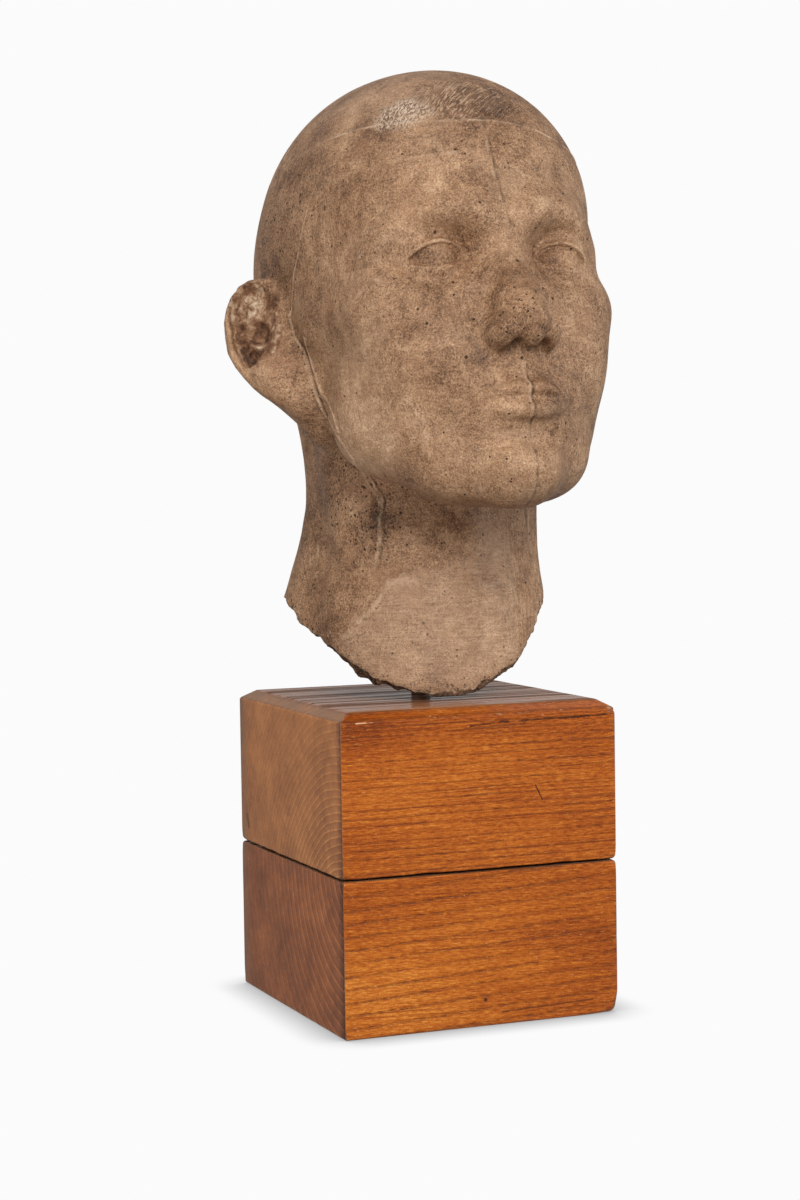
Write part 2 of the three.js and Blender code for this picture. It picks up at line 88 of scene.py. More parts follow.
def softbox(name, at, aim, size, power, color=(1, 1, 1)):
    data = bpy.data.lights.new(name, "AREA")
    data.shape = "RECTANGLE"
    data.size, data.size_y = size
    data.energy = power
    data.color = color
    lamp = bpy.data.objects.new(name, data)
    scene.collection.objects.link(lamp)
    lamp.location = at
    lamp.rotation_euler = (Vector(aim) - Vector(at)).to_track_quat("-Z", "Y").to_euler()
    lamp.visible_camera = False
    return lamp


WHITE = (0.965, 0.965, 0.965, 1)
BEHIND = (0.376, 0.925, 0.0)      # the bright side of the studio


def make_world():
    """Soft light from all round: bright behind the head, dim in front of it and from the ground."""
    world = bpy.data.worlds.new("studio")
    scene.world = world
    world.use_nodes = True
    t = world.node_tree
    back = t.nodes["Background"]
    coord = t.nodes.new("ShaderNodeTexCoord")
    sep = t.nodes.new("ShaderNodeSeparateXYZ")
    t.links.new(coord.outputs["Generated"], sep.inputs[0])

    def math(op, a, b):
        n = t.nodes.new("ShaderNodeMath")
        n.operation = op
        for i, v in enumerate((a, b)):
            if isinstance(v, bpy.types.NodeSocket):
                t.links.new(v, n.inputs[i])
            else:
                n.inputs[i].default_value = v
        return n.outputs[0]

    def ease(v, a, b, c, d):
        n = t.nodes.new("ShaderNodeMapRange")
        n.interpolation_type = "SMOOTHSTEP"
        t.links.new(v, n.inputs["Value"])
        for k, w in (("From Min", a), ("From Max", b), ("To Min", c), ("To Max", d)):
            n.inputs[k].default_value = w
        return n.outputs["Result"]

    behind = math("ADD", math("MULTIPLY", sep.outputs[0], BEHIND[0]), math("MULTIPLY", sep.outputs[1], BEHIND[1]))
    level = ease(behind, -0.25, 0.70, FRONT_LEVEL, BACK_LEVEL)
    level = math("MULTIPLY", level, ease(sep.outputs[2], -0.30, 0.05, GROUND_LEVEL, 1.0))
    level = math("ADD", level, ease(sep.outputs[2], 0.05, 0.65, 0.0, SKY_LEVEL))
    t.links.new(level, back.inputs[1])
    back.inputs[0].default_value = (1, 0.995, 0.985, 1)


FRONT_LEVEL, BACK_LEVEL, GROUND_LEVEL, SKY_LEVEL = 0.34, 0.40, 0.95, 0.06


def make_light():
    make_world()
    softbox("overhead", (-0.32, 0.45, 1.65), (0, -0.02, 0.35), (0.45, 0.45), 3.3)
    softbox("front", (-0.20, -1.72, 0.98), (0.0, 0, 0.26), (0.75, 0.75), 23.0)
    softbox("left_fill", (-1.75, -0.80, 0.46), (0, 0, 0.24), (0.9, 1.1), 13.0, (1.0, 0.945, 0.89))
    softbox("right_fill", (1.70, -0.80, 0.70), (0, 0, 0.26), (0.9, 1.1), 10.5)


# ================================================================ distances, in mm
def smin(a, b, k):
    h = np.maximum(k - np.abs(a - b), 0.0) / k
    return np.minimum(a, b) - h * h * k * 0.25


def smax(a, b, k):
    return -smin(-a, -b, k)


def step(x, a, b):
    t = np.clip((x - a) / (b - a), 0.0, 1.0)
    return t * t * (3 - 2 * t)


def bell(x, at, width):
    return np.exp(-(((x - at) / width) ** 2))


def rotation(ax, ay, az):
    ax, ay, az = np.radians([ax, ay, az])
    cx, sx, cy, sy, cz, sz = np.cos(ax), np.sin(ax), np.cos(ay), np.sin(ay), np.cos(az), np.sin(az)
    rx = np.array([[1, 0, 0], [0, cx, -sx], [0, sx, cx]])
    ry = np.array([[cy, 0, sy], [0, 1, 0], [-sy, 0, cy]])
    rz = np.array([[cz, -sz, 0], [sz, cz, 0], [0, 0, 1]])
    return rz @ ry @ rx


def ellipsoid(p, c, r, turn=None):
    q = p - np.asarray(c, float)
    if turn is not None:
        q = q @ rotation(*turn)
    r = np.asarray(r, float)
    k0 = np.sqrt(((q / r) ** 2).sum(1))
    k1 = np.sqrt(((q / (r * r)) ** 2).sum(1))
    return k0 * (k0 - 1.0) / np.maximum(k1, 1e-6)


def taper(p, a, b, ra, rb):
    a, b = np.asarray(a, float), np.asarray(b, float)
    ab = b - a
    t = np.clip(((p - a) @ ab) / (ab @ ab), 0, 1)
    return np.sqrt((((p - a) - t[:, None] * ab) ** 2).sum(1)) - (ra + t * (rb - ra))


def tube(p, pts, rad):
    d = None
    for i in range(len(pts) - 1):
        e = taper(p, pts[i], pts[i + 1], rad[i], rad[i + 1])
        d = e if d is None else np.minimum(d, e)
    return d


LATTICE = np.random.RandomState(7).rand(8, 32, 32, 32)


def wave(P, size, seed=0):
    """Smooth random field, -1 to 1, with features about size mm across."""
    q = P / size
    i = np.floor(q).astype(np.int64)
    f = q - i
    f = f * f * (3 - 2 * f)
    i = i & 31
    j = (i + 1) & 31
    g = LATTICE[seed]
    out = 0.0
    for a in (0, 1):
        for b in (0, 1):
            for c in (0, 1):
                w = (f[:, 0] if a else 1 - f[:, 0]) * (f[:, 1] if b else 1 - f[:, 1]) * (f[:, 2] if c else 1 - f[:, 2])
                out = out + w * g[(j if a else i)[:, 0], (j if b else i)[:, 1], (j if c else i)[:, 2]]
    return out * 2 - 1


def waves(P, size, octaves=3, seed=0):
    out, amp, total = 0.0, 1.0, 0.0
    for k in range(octaves):
        out = out + amp * wave(P + 11.3 * k, size / 2.03 ** k, (seed + k) % 8)
        total += amp
        amp *= 0.55
    return out / total


# ================================================================ the head
# In its own axes: x to its left, y back, z up, from the middle of the head at eye level.
HEAD_AT = np.array([6.0, -9.5, 362.0])
PITCH, SCALE = 12.0, 1.05
TILT = rotation(-PITCH, 0, 0)
NECK_AT = (10.5, 10.0)
TIP, CUT_SLOPE = np.array([0.0, -38.0, 161.0]), 0.45
CHIP, REST, PROUD = 1.6, 160.6, 0.45
MOUTH_HALF = 25.5
EAR_AT, EAR_OUT, EAR_LEAN = (80.0, 21.0, -16.0), 47.0, 13.0


def to_head(P):
    return ((P - HEAD_AT) @ TILT) / SCALE


def skull(p):
    d = ellipsoid(p, (0, 13, 34), (77, 94, 82.4))
    d = smin(d, ellipsoid(p, (0, -33, 34), (60, 59, 60)), 24)
    return smin(d, ellipsoid(p, (0, 50, 16), (62, 52, 50)), 28)


def face_mass(p, q):
    d = ellipsoid(p, (0, -42, -24), (56, 50, 62))
    d = smin(d, ellipsoid(p, (0, -46, -66), (41, 44, 44)), 22)
    jaw = taper(q, (46, 0, -32), (42, -16, -66), 13, 14)
    jaw = smin(jaw, taper(q, (42, -16, -66), (27, -56, -90), 14, 13), 14)
    jaw = smin(jaw, taper(q, (27, -56, -90), (3, -76, -100), 13, 14), 14)
    d = smin(d, jaw, 22)
    d = smin(d, ellipsoid(q, (40, -30, -50), (19, 30, 34)), 24)
    d = smin(d, ellipsoid(q, (44, -58, -19), (18, 18, 13)), 18)
    d = smin(d, taper(q, (50, -50, -17), (60, -8, -12), 9, 9), 20)
    return smin(d, ellipsoid(q, (30, -62, -42), (24, 22, 26)), 18)


LIP_T = [i / 10.0 for i in range(11)]
LIP_LINE = [(MOUTH_HALF * t, -102.2 + 12.3 * t ** 2.1, -71.0 - 0.9 * bell(t, 0, 0.16) + 0.5 * math.sin(t * math.pi) - t ** 3) for t in LIP_T]
UPPER_LIP = [(MOUTH_HALF * t, -98.7 + 12.3 * t ** 2.1, -67.6 + 1.3 * bell(t, 0.24, 0.2) - 3.6 * t ** 1.8) for t in LIP_T]
LOWER_LIP = [((MOUTH_HALF - 1) * t, -97.2 + 11.6 * t ** 2.1, -76.0 + 4.2 * t ** 2) for t in LIP_T]


def features(p, q, d):
    brow = tube(q, [(2, -87.5, 14), (16, -88.5, 17), (30, -83, 18.5), (41, -73, 16), (48, -62, 9)], [7.0, 7.0, 6.5, 6.5, 6])
    d = smin(d, brow, 14)
    d = smax(d, -ellipsoid(q, (29.5, -98, -0.5), (17.5, 22, 12.5), (0, 8, 0)), 10)
    nose = taper(p, (0, -84.5, 5), (0, -103.5, -34), 6.4, 7.4)
    nose = smin(nose, ellipsoid(p, (0, -91, -32), (14.0, 17, 19), (-16, 0, 0)), 8)
    nose = smin(nose, ellipsoid(p, (0, -106.6, -38.5), (8.5, 9.2, 8.1)), 6)
    nose = smin(nose, ellipsoid(q, (11.3, -98.5, -42.0), (6.4, 10.5, 7.0), (0, 0, -10)), 4)
    nose = smin(nose, taper(p, (0, -110.5, -45.0), (0, -98, -49.0), 3.0, 4.0), 4)
    d = smin(d, nose, 5.0)
    d = smin(d, ellipsoid(p, (0, -66, -69), (31, 32, 24)), 14)
    d = smin(d, ellipsoid(p, (0, -81.5, -101.5), (17, 16.5, 13.5)), 12)
    d = smax(d, -taper(q, (0, -100.5, -88), (12, -97.0, -87), 4.2, 3.0), 7)
    d = smax(d, -taper(p, (0, -102.8, -51), (0, -105.8, -61), 2.0, 3.2), 4)
    d = smin(d, tube(q, UPPER_LIP, [3.7 + 0.5 * bell(t, 0.24, 0.2) - 2.7 * t ** 1.6 for t in LIP_T]), 2.0)
    d = smin(d, tube(q, LOWER_LIP, [4.9 - 3.6 * t ** 1.8 for t in LIP_T]), 2.4)
    d = smax(d, -tube(q, LIP_LINE, [1.1 - 0.3 * t for t in LIP_T]), 1.4)
    d = smax(d, -ellipsoid(q, (27.5, -92.5, -72.6), (2.2, 5.0, 3.0)), 4)
    return smax(d, -ellipsoid(q, (6.6, -102.5, -49.0), (3.2, 6.2, 4.4), (14, 0, -14)), 2.2)


def eyes(q, d):
    E, R = np.array([31.0, -72.0, -1.0]), 13.2
    r = np.sqrt(((q - E) ** 2).sum(1))
    dx = q[:, 0] - E[0]
    dz = q[:, 2] - E[2] + 0.04 * dx
    up = np.sqrt((dx + 1.0) ** 2 + (dz + 22.0 - 5.4) ** 2) - 22.0
    lo = np.sqrt((dx - 1.0) ** 2 + (dz - 26.0 + 5.2) ** 2) - 26.0
    opening = smax(up, lo, 1.6)
    upper = smax(r - (R + 2.6), -(dz + 0.5), 2.0)
    lower = smax(r - (R + 1.7), (dz - 0.5), 2.0)
    lids = smax(smin(upper, lower, 1.0), -np.maximum(opening, q[:, 1] - E[1]), 0.9)
    d = smin(d, lids, 3.4)
    fold = []
    for i in range(7):
        t = math.radians(160 - i * 23.5)
        fold.append((E[0] + 15.2 * math.cos(t), E[1] - 11.3 - 1.5 * math.sin(t) + 3.2 * (1 - math.sin(t)), E[2] + 9.4 * math.sin(t)))
    d = smax(d, -tube(q, fold, [1.2] * 7), 1.6)
    return smin(d, r - R, 0.8)


def ear_coords(p, side):
    up = np.array([side * 0.10, math.sin(math.radians(EAR_LEAN)), math.cos(math.radians(EAR_LEAN))])
    back = np.array([side * math.sin(math.radians(EAR_OUT)), math.cos(math.radians(EAR_OUT)), 0.0])
    up /= np.linalg.norm(up)
    back -= up * (back @ up)
    back /= np.linalg.norm(back)
    out = np.cross(back, up)
    out = out if out[0] * side > 0 else -out
    q = p - np.array([side * EAR_AT[0], EAR_AT[1], EAR_AT[2]])
    return np.stack([q @ back, q @ up, q @ out], 1)      # back, up, out of the head


def ear(e):
    d = ellipsoid(e, (0, 3, -2.2), (17.5, 28.5, 4.6))
    d = smin(d, taper(e, (2, -12, -1.2), (-8.5, -34, -4.0), 8.5, 7.5), 8)
    d = smin(d, taper(e, (-6, -26, -9.0), (-10, -42, -17.0), 9.0, 9.0), 8)
    d = smin(d, ellipsoid(e, (-10, 0, -1.2), (9, 23, 6.0)), 7)
    d = smin(d, ellipsoid(e, (-1.5, -14, -0.8), (11, 13, 5.2)), 6)
    d = smax(d, -ellipsoid(e, (2.5, 14.5, 6.6), (11, 18, 7.2)), 2.6)
    pts, rad = [], []
    for i in range(17):
        t = 196 - i * 242 / 16.0
        a, low = math.radians(t), min(max(-t / 46.0, 0), 1)
        pts.append(((17.5 - 2.0 * low) * math.cos(a), 4.0 + 28.5 * math.sin(a), 1.6 + 0.9 * math.cos(a) - 1.8 * low))
        rad.append(3.5 - 0.9 * (i / 16.0) - 0.5 * low)
    d = smin(d, tube(e, pts, rad), 2.0)
    d = smin(d, ellipsoid(e, (1.0, 20.0, -1.4), (6.5, 10.5, 3.0), (0, 0, 12)), 3.0)
    d = smax(d, -tube(e, [(10.5, 25, 4.6), (12.0, 14, 2.0), (12.4, 4, 2.0), (10.6, -5, 3.6)], [1.4, 2.4, 2.5, 1.6]), 2.2)
    d = smax(d, -ellipsoid(e, (1.2, 6.5, 2.0), (5.2, 6.6, 6.5)), 2.0)
    d = smax(d, -ellipsoid(e, (8.0, -3.2, 2.6), (4.8, 4.4, 6.0)), 2.0)
    d = smin(d, ellipsoid(e, (-9, -1, -11), (12, 23, 12)), 7)
    return smin(d, ellipsoid(e, (-15, -24, -9), (10, 17, 8)), 8)


def neck(P):
    x, y, z = P[:, 0] - NECK_AT[0], P[:, 1] - NECK_AT[1], P[:, 2]
    q = np.stack([np.sqrt(x * x + 2.0), y, z], 1)
    t = np.clip((244 - z) / 46.0, 0, 1.0)
    f = t * t * (3 - 2 * t)
    rx, ry = 56.5 + 6.5 * f, 48.0 + 2.0 * f
    d = (np.sqrt((x / rx) ** 2 + (y / ry) ** 2) - 1) * np.minimum(rx, ry)
    d = smax(d, z - 322.0, 30)
    d = smin(d, taper(q, (48, 12, 320), (22, -35, 170), 13, 10), 16)
    d = smin(d, taper(q, (28, 34, 320), (40, 34, 225), 20, 18), 20)
    d = smin(d, taper(q, (38, 32, 322), (34, 34, 268), 26.5, 17), 8)
    d = smin(d, taper(q, (38, 26, 236), (49.5, 34, 196), 14, 23), 20)
    return smin(d, ellipsoid(np.stack([x, y, z], 1), (0, -40, 238), (10, 10, 16)), 14)


def whole(P):
    """Head and neck before the break."""
    p = to_head(P)
    q = p.copy()
    q[:, 0] = np.sqrt(p[:, 0] ** 2 + 1.44)
    d = smin(skull(p), face_mass(p, q), 22)
    near = (p[:, 1] < -45) & (p[:, 2] < 45) & (p[:, 2] > -125) & (np.abs(d) < 30)
    if near.any():
        d[near] = eyes(q[near], features(p[near], q[near], d[near]))
    for side in (-1, 1):
        near = (p[:, 0] * side > 40) & (np.abs(p[:, 1] - 22) < 50) & (np.abs(p[:, 2] + 14) < 62)
        if near.any():
            blend = 5 + 8 * np.clip((-22 - p[near][:, 2]) / 20, 0, 1)
            d[near] = smin(d[near], ear(ear_coords(p[near], side)), blend)
    return smin(d * SCALE, neck(P), 16)


# Where the core hangs lower than the rim's bowl: x, half its width, by how much.
HANGS = [(-40.0, 12.0, 3.2), (-24.0, 8.0, 1.2), (17.0, 8.0, 2.4)]


def hangs(P):
    return sum(drop * bell(P[:, 0], at, width) for at, width, drop in HANGS)


def broken(P):
    """Above zero below the break: a shallow bowl that rises to the nape, chipped at its edge."""
    x, y, z = P[:, 0] - TIP[0], P[:, 1] - TIP[1], P[:, 2] - TIP[2]
    bowl = np.where(x > 0, 0.0265 * np.abs(x) ** 1.7, 0.0026 * x * x) - hangs(P)
    away = np.clip(np.hypot(x, y) / 18.0 - 0.2, 0, 1)
    ragged = CHIP * (0.9 * np.sin(0.11 * P[:, 0] + 0.7 * np.sin(0.07 * P[:, 1])) * np.sin(0.13 * P[:, 1] + 1.1)
                     + 0.55 * np.sin(0.31 * P[:, 0] + 0.19 * P[:, 1] + 0.8 * np.sin(0.23 * P[:, 1]))
                     + 0.35 * np.sin(0.47 * P[:, 1] - 0.38 * P[:, 0] + 2.0))
    d = (CUT_SLOPE * y + bowl - z) * 0.85 + ragged * away
    near = np.abs(d) < 9
    if near.any():      # teeth and crumbled corners, only ever cutting deeper
        Q = P[near]
        d[near] += away[near] * (0.75 + 0.45 * waves(Q, 4.0, 3, 1) + 0.3 * wave(Q, 2.0, 4)) + 0.04
    return np.maximum(d, REST + PROUD - P[:, 2])


def spalled(P, skin, cut):
    """Above zero where the outer skin has flaked off along the break, in a band of uneven width."""
    high = (4.6 + 2.6 * wave(P, 19.0, 6) + 1.5 * wave(P, 6.5, 1)) * (0.22 + 0.78 * step(P[:, 0], -52, -38)) + 0.8 * hangs(P)     # height of the band
    deep = 3.0 + 1.2 * wave(P, 15.0, 2)
    right = step(P[:, 0], 8, 30)
    tip = np.clip(np.hypot(P[:, 0] - TIP[0], P[:, 1] - TIP[1]) / 17.0 - 0.15, 0.30, 1)
    high, deep = high * (1 - 0.30 * right), deep * (1 - 0.1 * right) * tip
    return (deep * (1 + cut / np.maximum(high, 0.8)) + skin + 0.5 * waves(P, 2.6, 2, 3)) * 0.8


def surface(P):
    skin, cut = whole(P), broken(P)
    d = smax(skin, cut, 0.8)
    near = (cut > -14) & (np.abs(skin) < 14)
    if near.any():
        d[near] = smax(d[near], spalled(P[near], skin[near], cut[near]), 0.7)
    return d


def surface_nets(fn, lo, hi, h, coarse=6, chunk=300000):
    """Quads over fn = 0: coarse samples first, fine ones only near the surface."""
    n = np.ceil((hi - lo) / h).astype(int) + 1
    n = ((n + coarse - 1) // coarse) * coarse + 1
    axes = [lo[i] + h * coarse * np.arange((n[i] - 1) // coarse + 1) for i in range(3)]
    rough = fn(np.stack(np.meshgrid(*axes, indexing="ij"), -1).reshape(-1, 3)).reshape([len(c) for c in axes])
    near = np.abs(rough) < h * coarse * 1.9
    act = np.zeros([s - 1 for s in rough.shape], bool)
    for i in (0, 1):
        for j in (0, 1):
            for k in (0, 1):
                act |= near[i:near.shape[0] - 1 + i, j:near.shape[1] - 1 + j, k:near.shape[2] - 1 + k]
    D = np.full(n, np.nan, np.float32)
    D[:-1, :-1, :-1] = np.repeat(np.repeat(np.repeat(rough[:-1, :-1, :-1], coarse, 0), coarse, 1), coarse, 2)
    D[-1], D[:, -1], D[:, :, -1] = 1e3, 1e3, 1e3
    blocks = np.argwhere(act)
    mask = np.zeros(n, bool)
    for o in np.stack(np.meshgrid(*[np.arange(coarse + 1)] * 3, indexing="ij"), -1).reshape(-1, 3):
        idx = blocks * coarse + o
        mask[idx[:, 0], idx[:, 1], idx[:, 2]] = True
    idx = np.argwhere(mask)
    vals = np.empty(len(idx), np.float32)
    for s in range(0, len(idx), chunk):
        vals[s:s + chunk] = fn(lo + idx[s:s + chunk] * h)
    D[idx[:, 0], idx[:, 1], idx[:, 2]] = vals
    S = D < 0
    c = [S[i:S.shape[0] - 1 + i, j:S.shape[1] - 1 + j, k:S.shape[2] - 1 + k] for i in (0, 1) for j in (0, 1) for k in (0, 1)]
    cell = np.logical_or.reduce(c) & ~np.logical_and.reduce(c)
    ci = np.argwhere(cell)
    vid = np.full(cell.shape, -1, np.int32)
    vid[ci[:, 0], ci[:, 1], ci[:, 2]] = np.arange(len(ci))
    acc, cnt = np.zeros((len(ci), 3)), np.zeros(len(ci))
    corners = np.array([(i, j, k) for i in (0, 1) for j in (0, 1) for k in (0, 1)])
    for a in range(8):
        for b in range(a + 1, 8):
            if np.abs(corners[a] - corners[b]).sum() != 1:
                continue
            ia, ib = ci + corners[a], ci + corners[b]
            da, db = D[ia[:, 0], ia[:, 1], ia[:, 2]], D[ib[:, 0], ib[:, 1], ib[:, 2]]
            m = (da < 0) != (db < 0)
            t = np.where(m, da / np.where(m, da - db, 1), 0)
            pt = corners[a] + t[:, None] * (corners[b] - corners[a])
            acc[m] += pt[m]
            cnt[m] += 1
    V = lo + (ci + acc / cnt[:, None]) * h
    quads = []
    for ax in range(3):
        s0, s1 = [slice(None)] * 3, [slice(None)] * 3
        s0[ax], s1[ax] = slice(0, -1), slice(1, None)
        A, B = S[tuple(s0)], S[tuple(s1)]
        e = np.argwhere(A != B)
        o1, o2 = [(1, 2), (2, 0), (0, 1)][ax]
        e = e[(e[:, o1] > 0) & (e[:, o2] > 0)]
        u, w = np.zeros(3, int), np.zeros(3, int)
        u[o1], w[o2] = 1, 1
        q = np.stack([vid[tuple((e - x).T)] for x in (u + w, w, 0 * u, u)], 1)
        inside = A[tuple(e.T)]
        q[~inside] = q[~inside][:, ::-1]
        quads.append(q)
    return V, np.concatenate(quads)


# ---------------------------------------------------------------- marks on the head
# Where the mould's halves met on the side of the head: y for a height z, both in the part's axes.
SIDE_Z = [225, 242, 254, 262, 274, 290, 300, 313, 340, 356, 376, 384.5, 399, 411.5, 426]
SIDE_Y = [-22, -22.6, -22, -23.4, -19.5, -20.5, -22.1, -20.5, -9.2, -1.6, -12.6, -19.1, -26, -31, -37]
# Upper edge of the smoother plane on the front of the neck: z for a place x.
FOLD_X = [-50, -42.6, -38.3, -32.4, -29, -18.6, -8, 4.3, 20, 34, 44]
FOLD_Z = [186, 201, 207.3, 215.4, 221, 222.9, 225.2, 232.1, 240, 247, 236]


# Along the middle of the face the seam shows mostly at the forehead, the lips and the chin.
MID_Z = [-122, -110, -92, -84, -66, -58, -50, -30, 14, 24, 58, 64]
MID_SHOWS = [0.0, 0.7, 0.7, 1.0, 1.0, 0.8, 0.15, 0.05, 0.20, 0.85, 0.90, 0.0]


def marks(P):
    """Signed distances to the seams and soft masks, each as one value a point."""
    p = to_head(P)
    x, y, z = p[:, 0], p[:, 1], p[:, 2]
    m = {}
    wob = wave(P, 9.0, 2) * 0.7 + wave(P, 3.5, 3) * 0.35
    shows = step(waves(P, 9.0, 2, 4), -0.30, 0.25)
    cap = (z - (62.3 - 0.10 * x + 0.9 * np.sin(0.085 * x + 0.6))) * 1.3 + 0.8 * wob
    arc = (z - (46.8 + 0.02 * x)) * 1.15 + wob
    use_arc = np.abs(arc) < np.abs(cap)
    front = step(-y, 5, 55)
    m["cap"] = np.where(use_arc, arc, cap)
    m["cap_w"] = np.where(use_arc, 0.55 * step(x, -48, -36) * step(-x, 4, 16) * front, (0.12 + 0.88 * front) * (0.4 + 0.6 * shows))
    mid_x = np.interp(z, [-110, -50, 0, 15, 35, 60], [0.6, 0, 0, -1.4, -3.2, -4.6])
    m["mid"] = (x - mid_x) * SCALE + 0.9 * wob
    m["mid_w"] = step(-y, 42, 60) * np.interp(z, MID_Z, MID_SHOWS) * (0.25 + 0.75 * shows)
    side_y = np.interp(P[:, 2], SIDE_Z, SIDE_Y)
    m["side"] = (P[:, 1] - side_y) * 1.25 + wob
    m["side_w"] = (step(np.abs(P[:, 0] - 8), 14, 26) * step(P[:, 2], 222, 236) * (1 - 0.85 * step(P[:, 2], 405, 424))
                   * np.where(P[:, 0] < 0, 1.0, 0.6) * (0.60 + 0.40 * shows))
    m["fold"] = (P[:, 2] - np.interp(P[:, 0], FOLD_X, FOLD_Z)) * 0.8 + 2.2 * wob
    m["fold_w"] = step(-P[:, 1], 2, 14) * step(P[:, 0], -50, -44) * step(-P[:, 0], -42, -37) * (1 - step(P[:, 2], 250, 262))
    m["crack"] = tube(P, CRACKS_AT, [0.1, 0.5, 0.7, 0.5, 0.1]) + 0.45 * wave(P, 2.6, 3)
    m["ridges"] = np.minimum(nearest(P, RIDGES) + 0.3 * wob, 12)
    m["pale_lines"] = np.minimum(nearest(P, PALE_LINES), 12)
    # upright ridges left by a comb at the right of the neck
    m["comb"] = step(P[:, 0], 27, 36) * step(-P[:, 1], -12, 0) * step(P[:, 2], 176, 192) * (1 - step(P[:, 2], 238, 256))
    # where air bubbles came to the surface
    pitted = 0.0
    for c, r, w in (((-72, 12, 392), 26, 0.9), ((-46, -2, 272), 26, 0.9), ((-34, -20, 250), 16, 1.0), ((-60, -22, 415), 22, 0.5),
                    ((62, 30, 300), 34, 0.6), ((0, 100, 350), 50, 0.5), ((40, 70, 430), 40, 0.4)):
        pitted = pitted + w * bell(np.linalg.norm(P - np.array(c), axis=1), 0, r)
    pitted = pitted + 0.8 * bell(np.linalg.norm(p - np.array((0, -108, -40)), axis=1), 0, 15)
    m["pitted"] = np.minimum(pitted, 1.0)
    hole, tone = np.zeros(len(P)), np.zeros(len(P))
    for side, amount in ((-1, 1.0), (1, 0.55)):
        e = ear_coords(p, side)
        u, v = e[:, 0], e[:, 1]
        own = (np.abs(u) < 24) & (np.abs(v) < 42) & (e[:, 2] < 14)
        own = own * (1 - step(ear(e), 0.8, 2.2)) * step(e[:, 2], -7.0, -4.0)
        inside = 1 - step(((u - 1.5) / 14.0) ** 2 + ((v - 12.0) / 23.0) ** 2 + 0.30 * wave(P, 5.0, 5), 0.70, 1.05)
        hole = np.maximum(hole, amount * inside * own)
        t = np.zeros(len(P))
        for cu, cv, r, w in EAR_TONES:
            t += w * bell(np.hypot(u - cu, v - cv), 0, r)
        tone += np.clip(t, -1.2, 1.2) * own * (1.0 if side < 0 else 0.6)
    m["ear"], m["ear_tone"] = hole, tone
    return m


# Two thin ridges from beside the ear to the angle of the jaw, running on along its edge and down the neck.
RIDGES = [
    [(-68.2, -18.6, 343.7), (-65.0, -13.9, 338.0), (-62.8, -17.5, 325.3), (-60.8, -23.2, 315.1), (-61.7, -40.8, 304.7), (-60.9, -45.2, 296.2)],
    [(-62.0, -20.6, 313.7), (-58.5, -20.7, 304.1), (-60.5, -33.0, 300.0), (-60.7, -40.6, 296.3), (-58.6, -47.1, 289.3), (-53.5, -48.6, 281.3)],
    [(-54.0, -17.0, 298.0), (-45.0, -16.5, 287.0), (-36.0, -18.4, 272.1), (-30.4, -23.2, 260.4)],
]
PALE_LINES = [
    [(-49.2, 29.0, 246.2), (-50.6, 28.2, 235.7), (-51.8, 24.3, 226.5)], [(-46.5, 22.0, 240.0), (-48.5, 19.0, 222.0)],
    [(-43.3, -15.9, 200.1), (-39.8, -19.8, 207.3), (-35.7, -23.5, 214.4), (-33.4, -24.9, 219.0)],
    [(-45.6, -11.5, 199.0), (-42.0, -15.0, 205.5)], [(-27.4, -29.0, 220.5), (-23.3, -30.9, 222.4), (-17.1, -33.4, 223.3), (-8.0, -36.4, 225.2)],
]


def nearest(P, lines):
    """Distance to lines that are first laid onto the surface."""
    d = None
    for pts in lines:
        pts = np.array(pts, float)
        far = np.concatenate([[0], np.cumsum(np.linalg.norm(np.diff(pts, axis=0), axis=1))])
        at = np.linspace(0, far[-1], int(far[-1] / 3) + 2)
        pts = np.stack([np.interp(at, far, pts[:, i]) for i in range(3)], 1)
        for _ in range(8):
            g = np.stack([whole(pts + s) - whole(pts - s) for s in np.eye(3) * 0.5], 1)
            g /= np.maximum(np.linalg.norm(g, axis=1), 1e-6)[:, None]
            pts = pts - g * np.clip(whole(pts), -4, 4)[:, None]
        keep = (P > pts.min(0) - 6).all(1) & (P < pts.max(0) + 6).all(1)
        e = np.full(len(P), 12.0)
        e[keep] = tube(P[keep], pts, [0.0] * len(pts))
        d = e if d is None else np.minimum(d, e)
    return d


# A crack beside the throat, where the seam runs down the neck.
CRACKS_AT = [(-31.5, -25.0, 268.0), (-30.5, -24.5, 261.0), (-31.5, -23.5, 255.0), (-33.5, -22.5, 249.0), (-33.0, -23.0, 243.0)]

# On the ear, from its middle: back, up, radius, and lighter (+) or darker (-). Most darker spots lie in the groove
# inside the rim and in the hollows: painted shade.
EAR_TONES = [
    (11.8, 15, 2.6, -1.1), (12.9, 9, 2.4, -1.2), (12.9, 3.4, 2.6, -1.3), (12.0, -1.5, 2.4, -1.2), (10.9, -5.6, 2.2, -1.0),
    (2.2, 8.6, 4.8, -0.70), (8.5, -3.0, 3.8, -0.75), (4.0, 1.2, 1.9, 1.0), (2.0, 24, 4.0, 0.50), (2.5, 17, 3.6, 0.35),
    (-3.5, 27, 3.0, 0.45), (0.8, 32.5, 3.0, -1.2), (-11.5, 20, 4.5, -0.85), (-8, 33, 2.6, 0.6), (5, 35.5, 2.0, 0.7), (-2, 37, 2.0, 0.6),
    (-3.7, -12, 3.4, -0.45), (-0.7, -1.2, 1.4, -0.8), (1.8, -3.0, 1.3, -0.8), (-1.2, -15.7, 2.6, 0.5), (-4.5, -34.7, 2.6, -0.45), (-8.0, -14, 5.0, -0.30),
    (-7.0, 4.0, 4.5, 0.35), (16.5, 14, 2.6, 0.45), (17.0, 2, 2.4, 0.35),
]


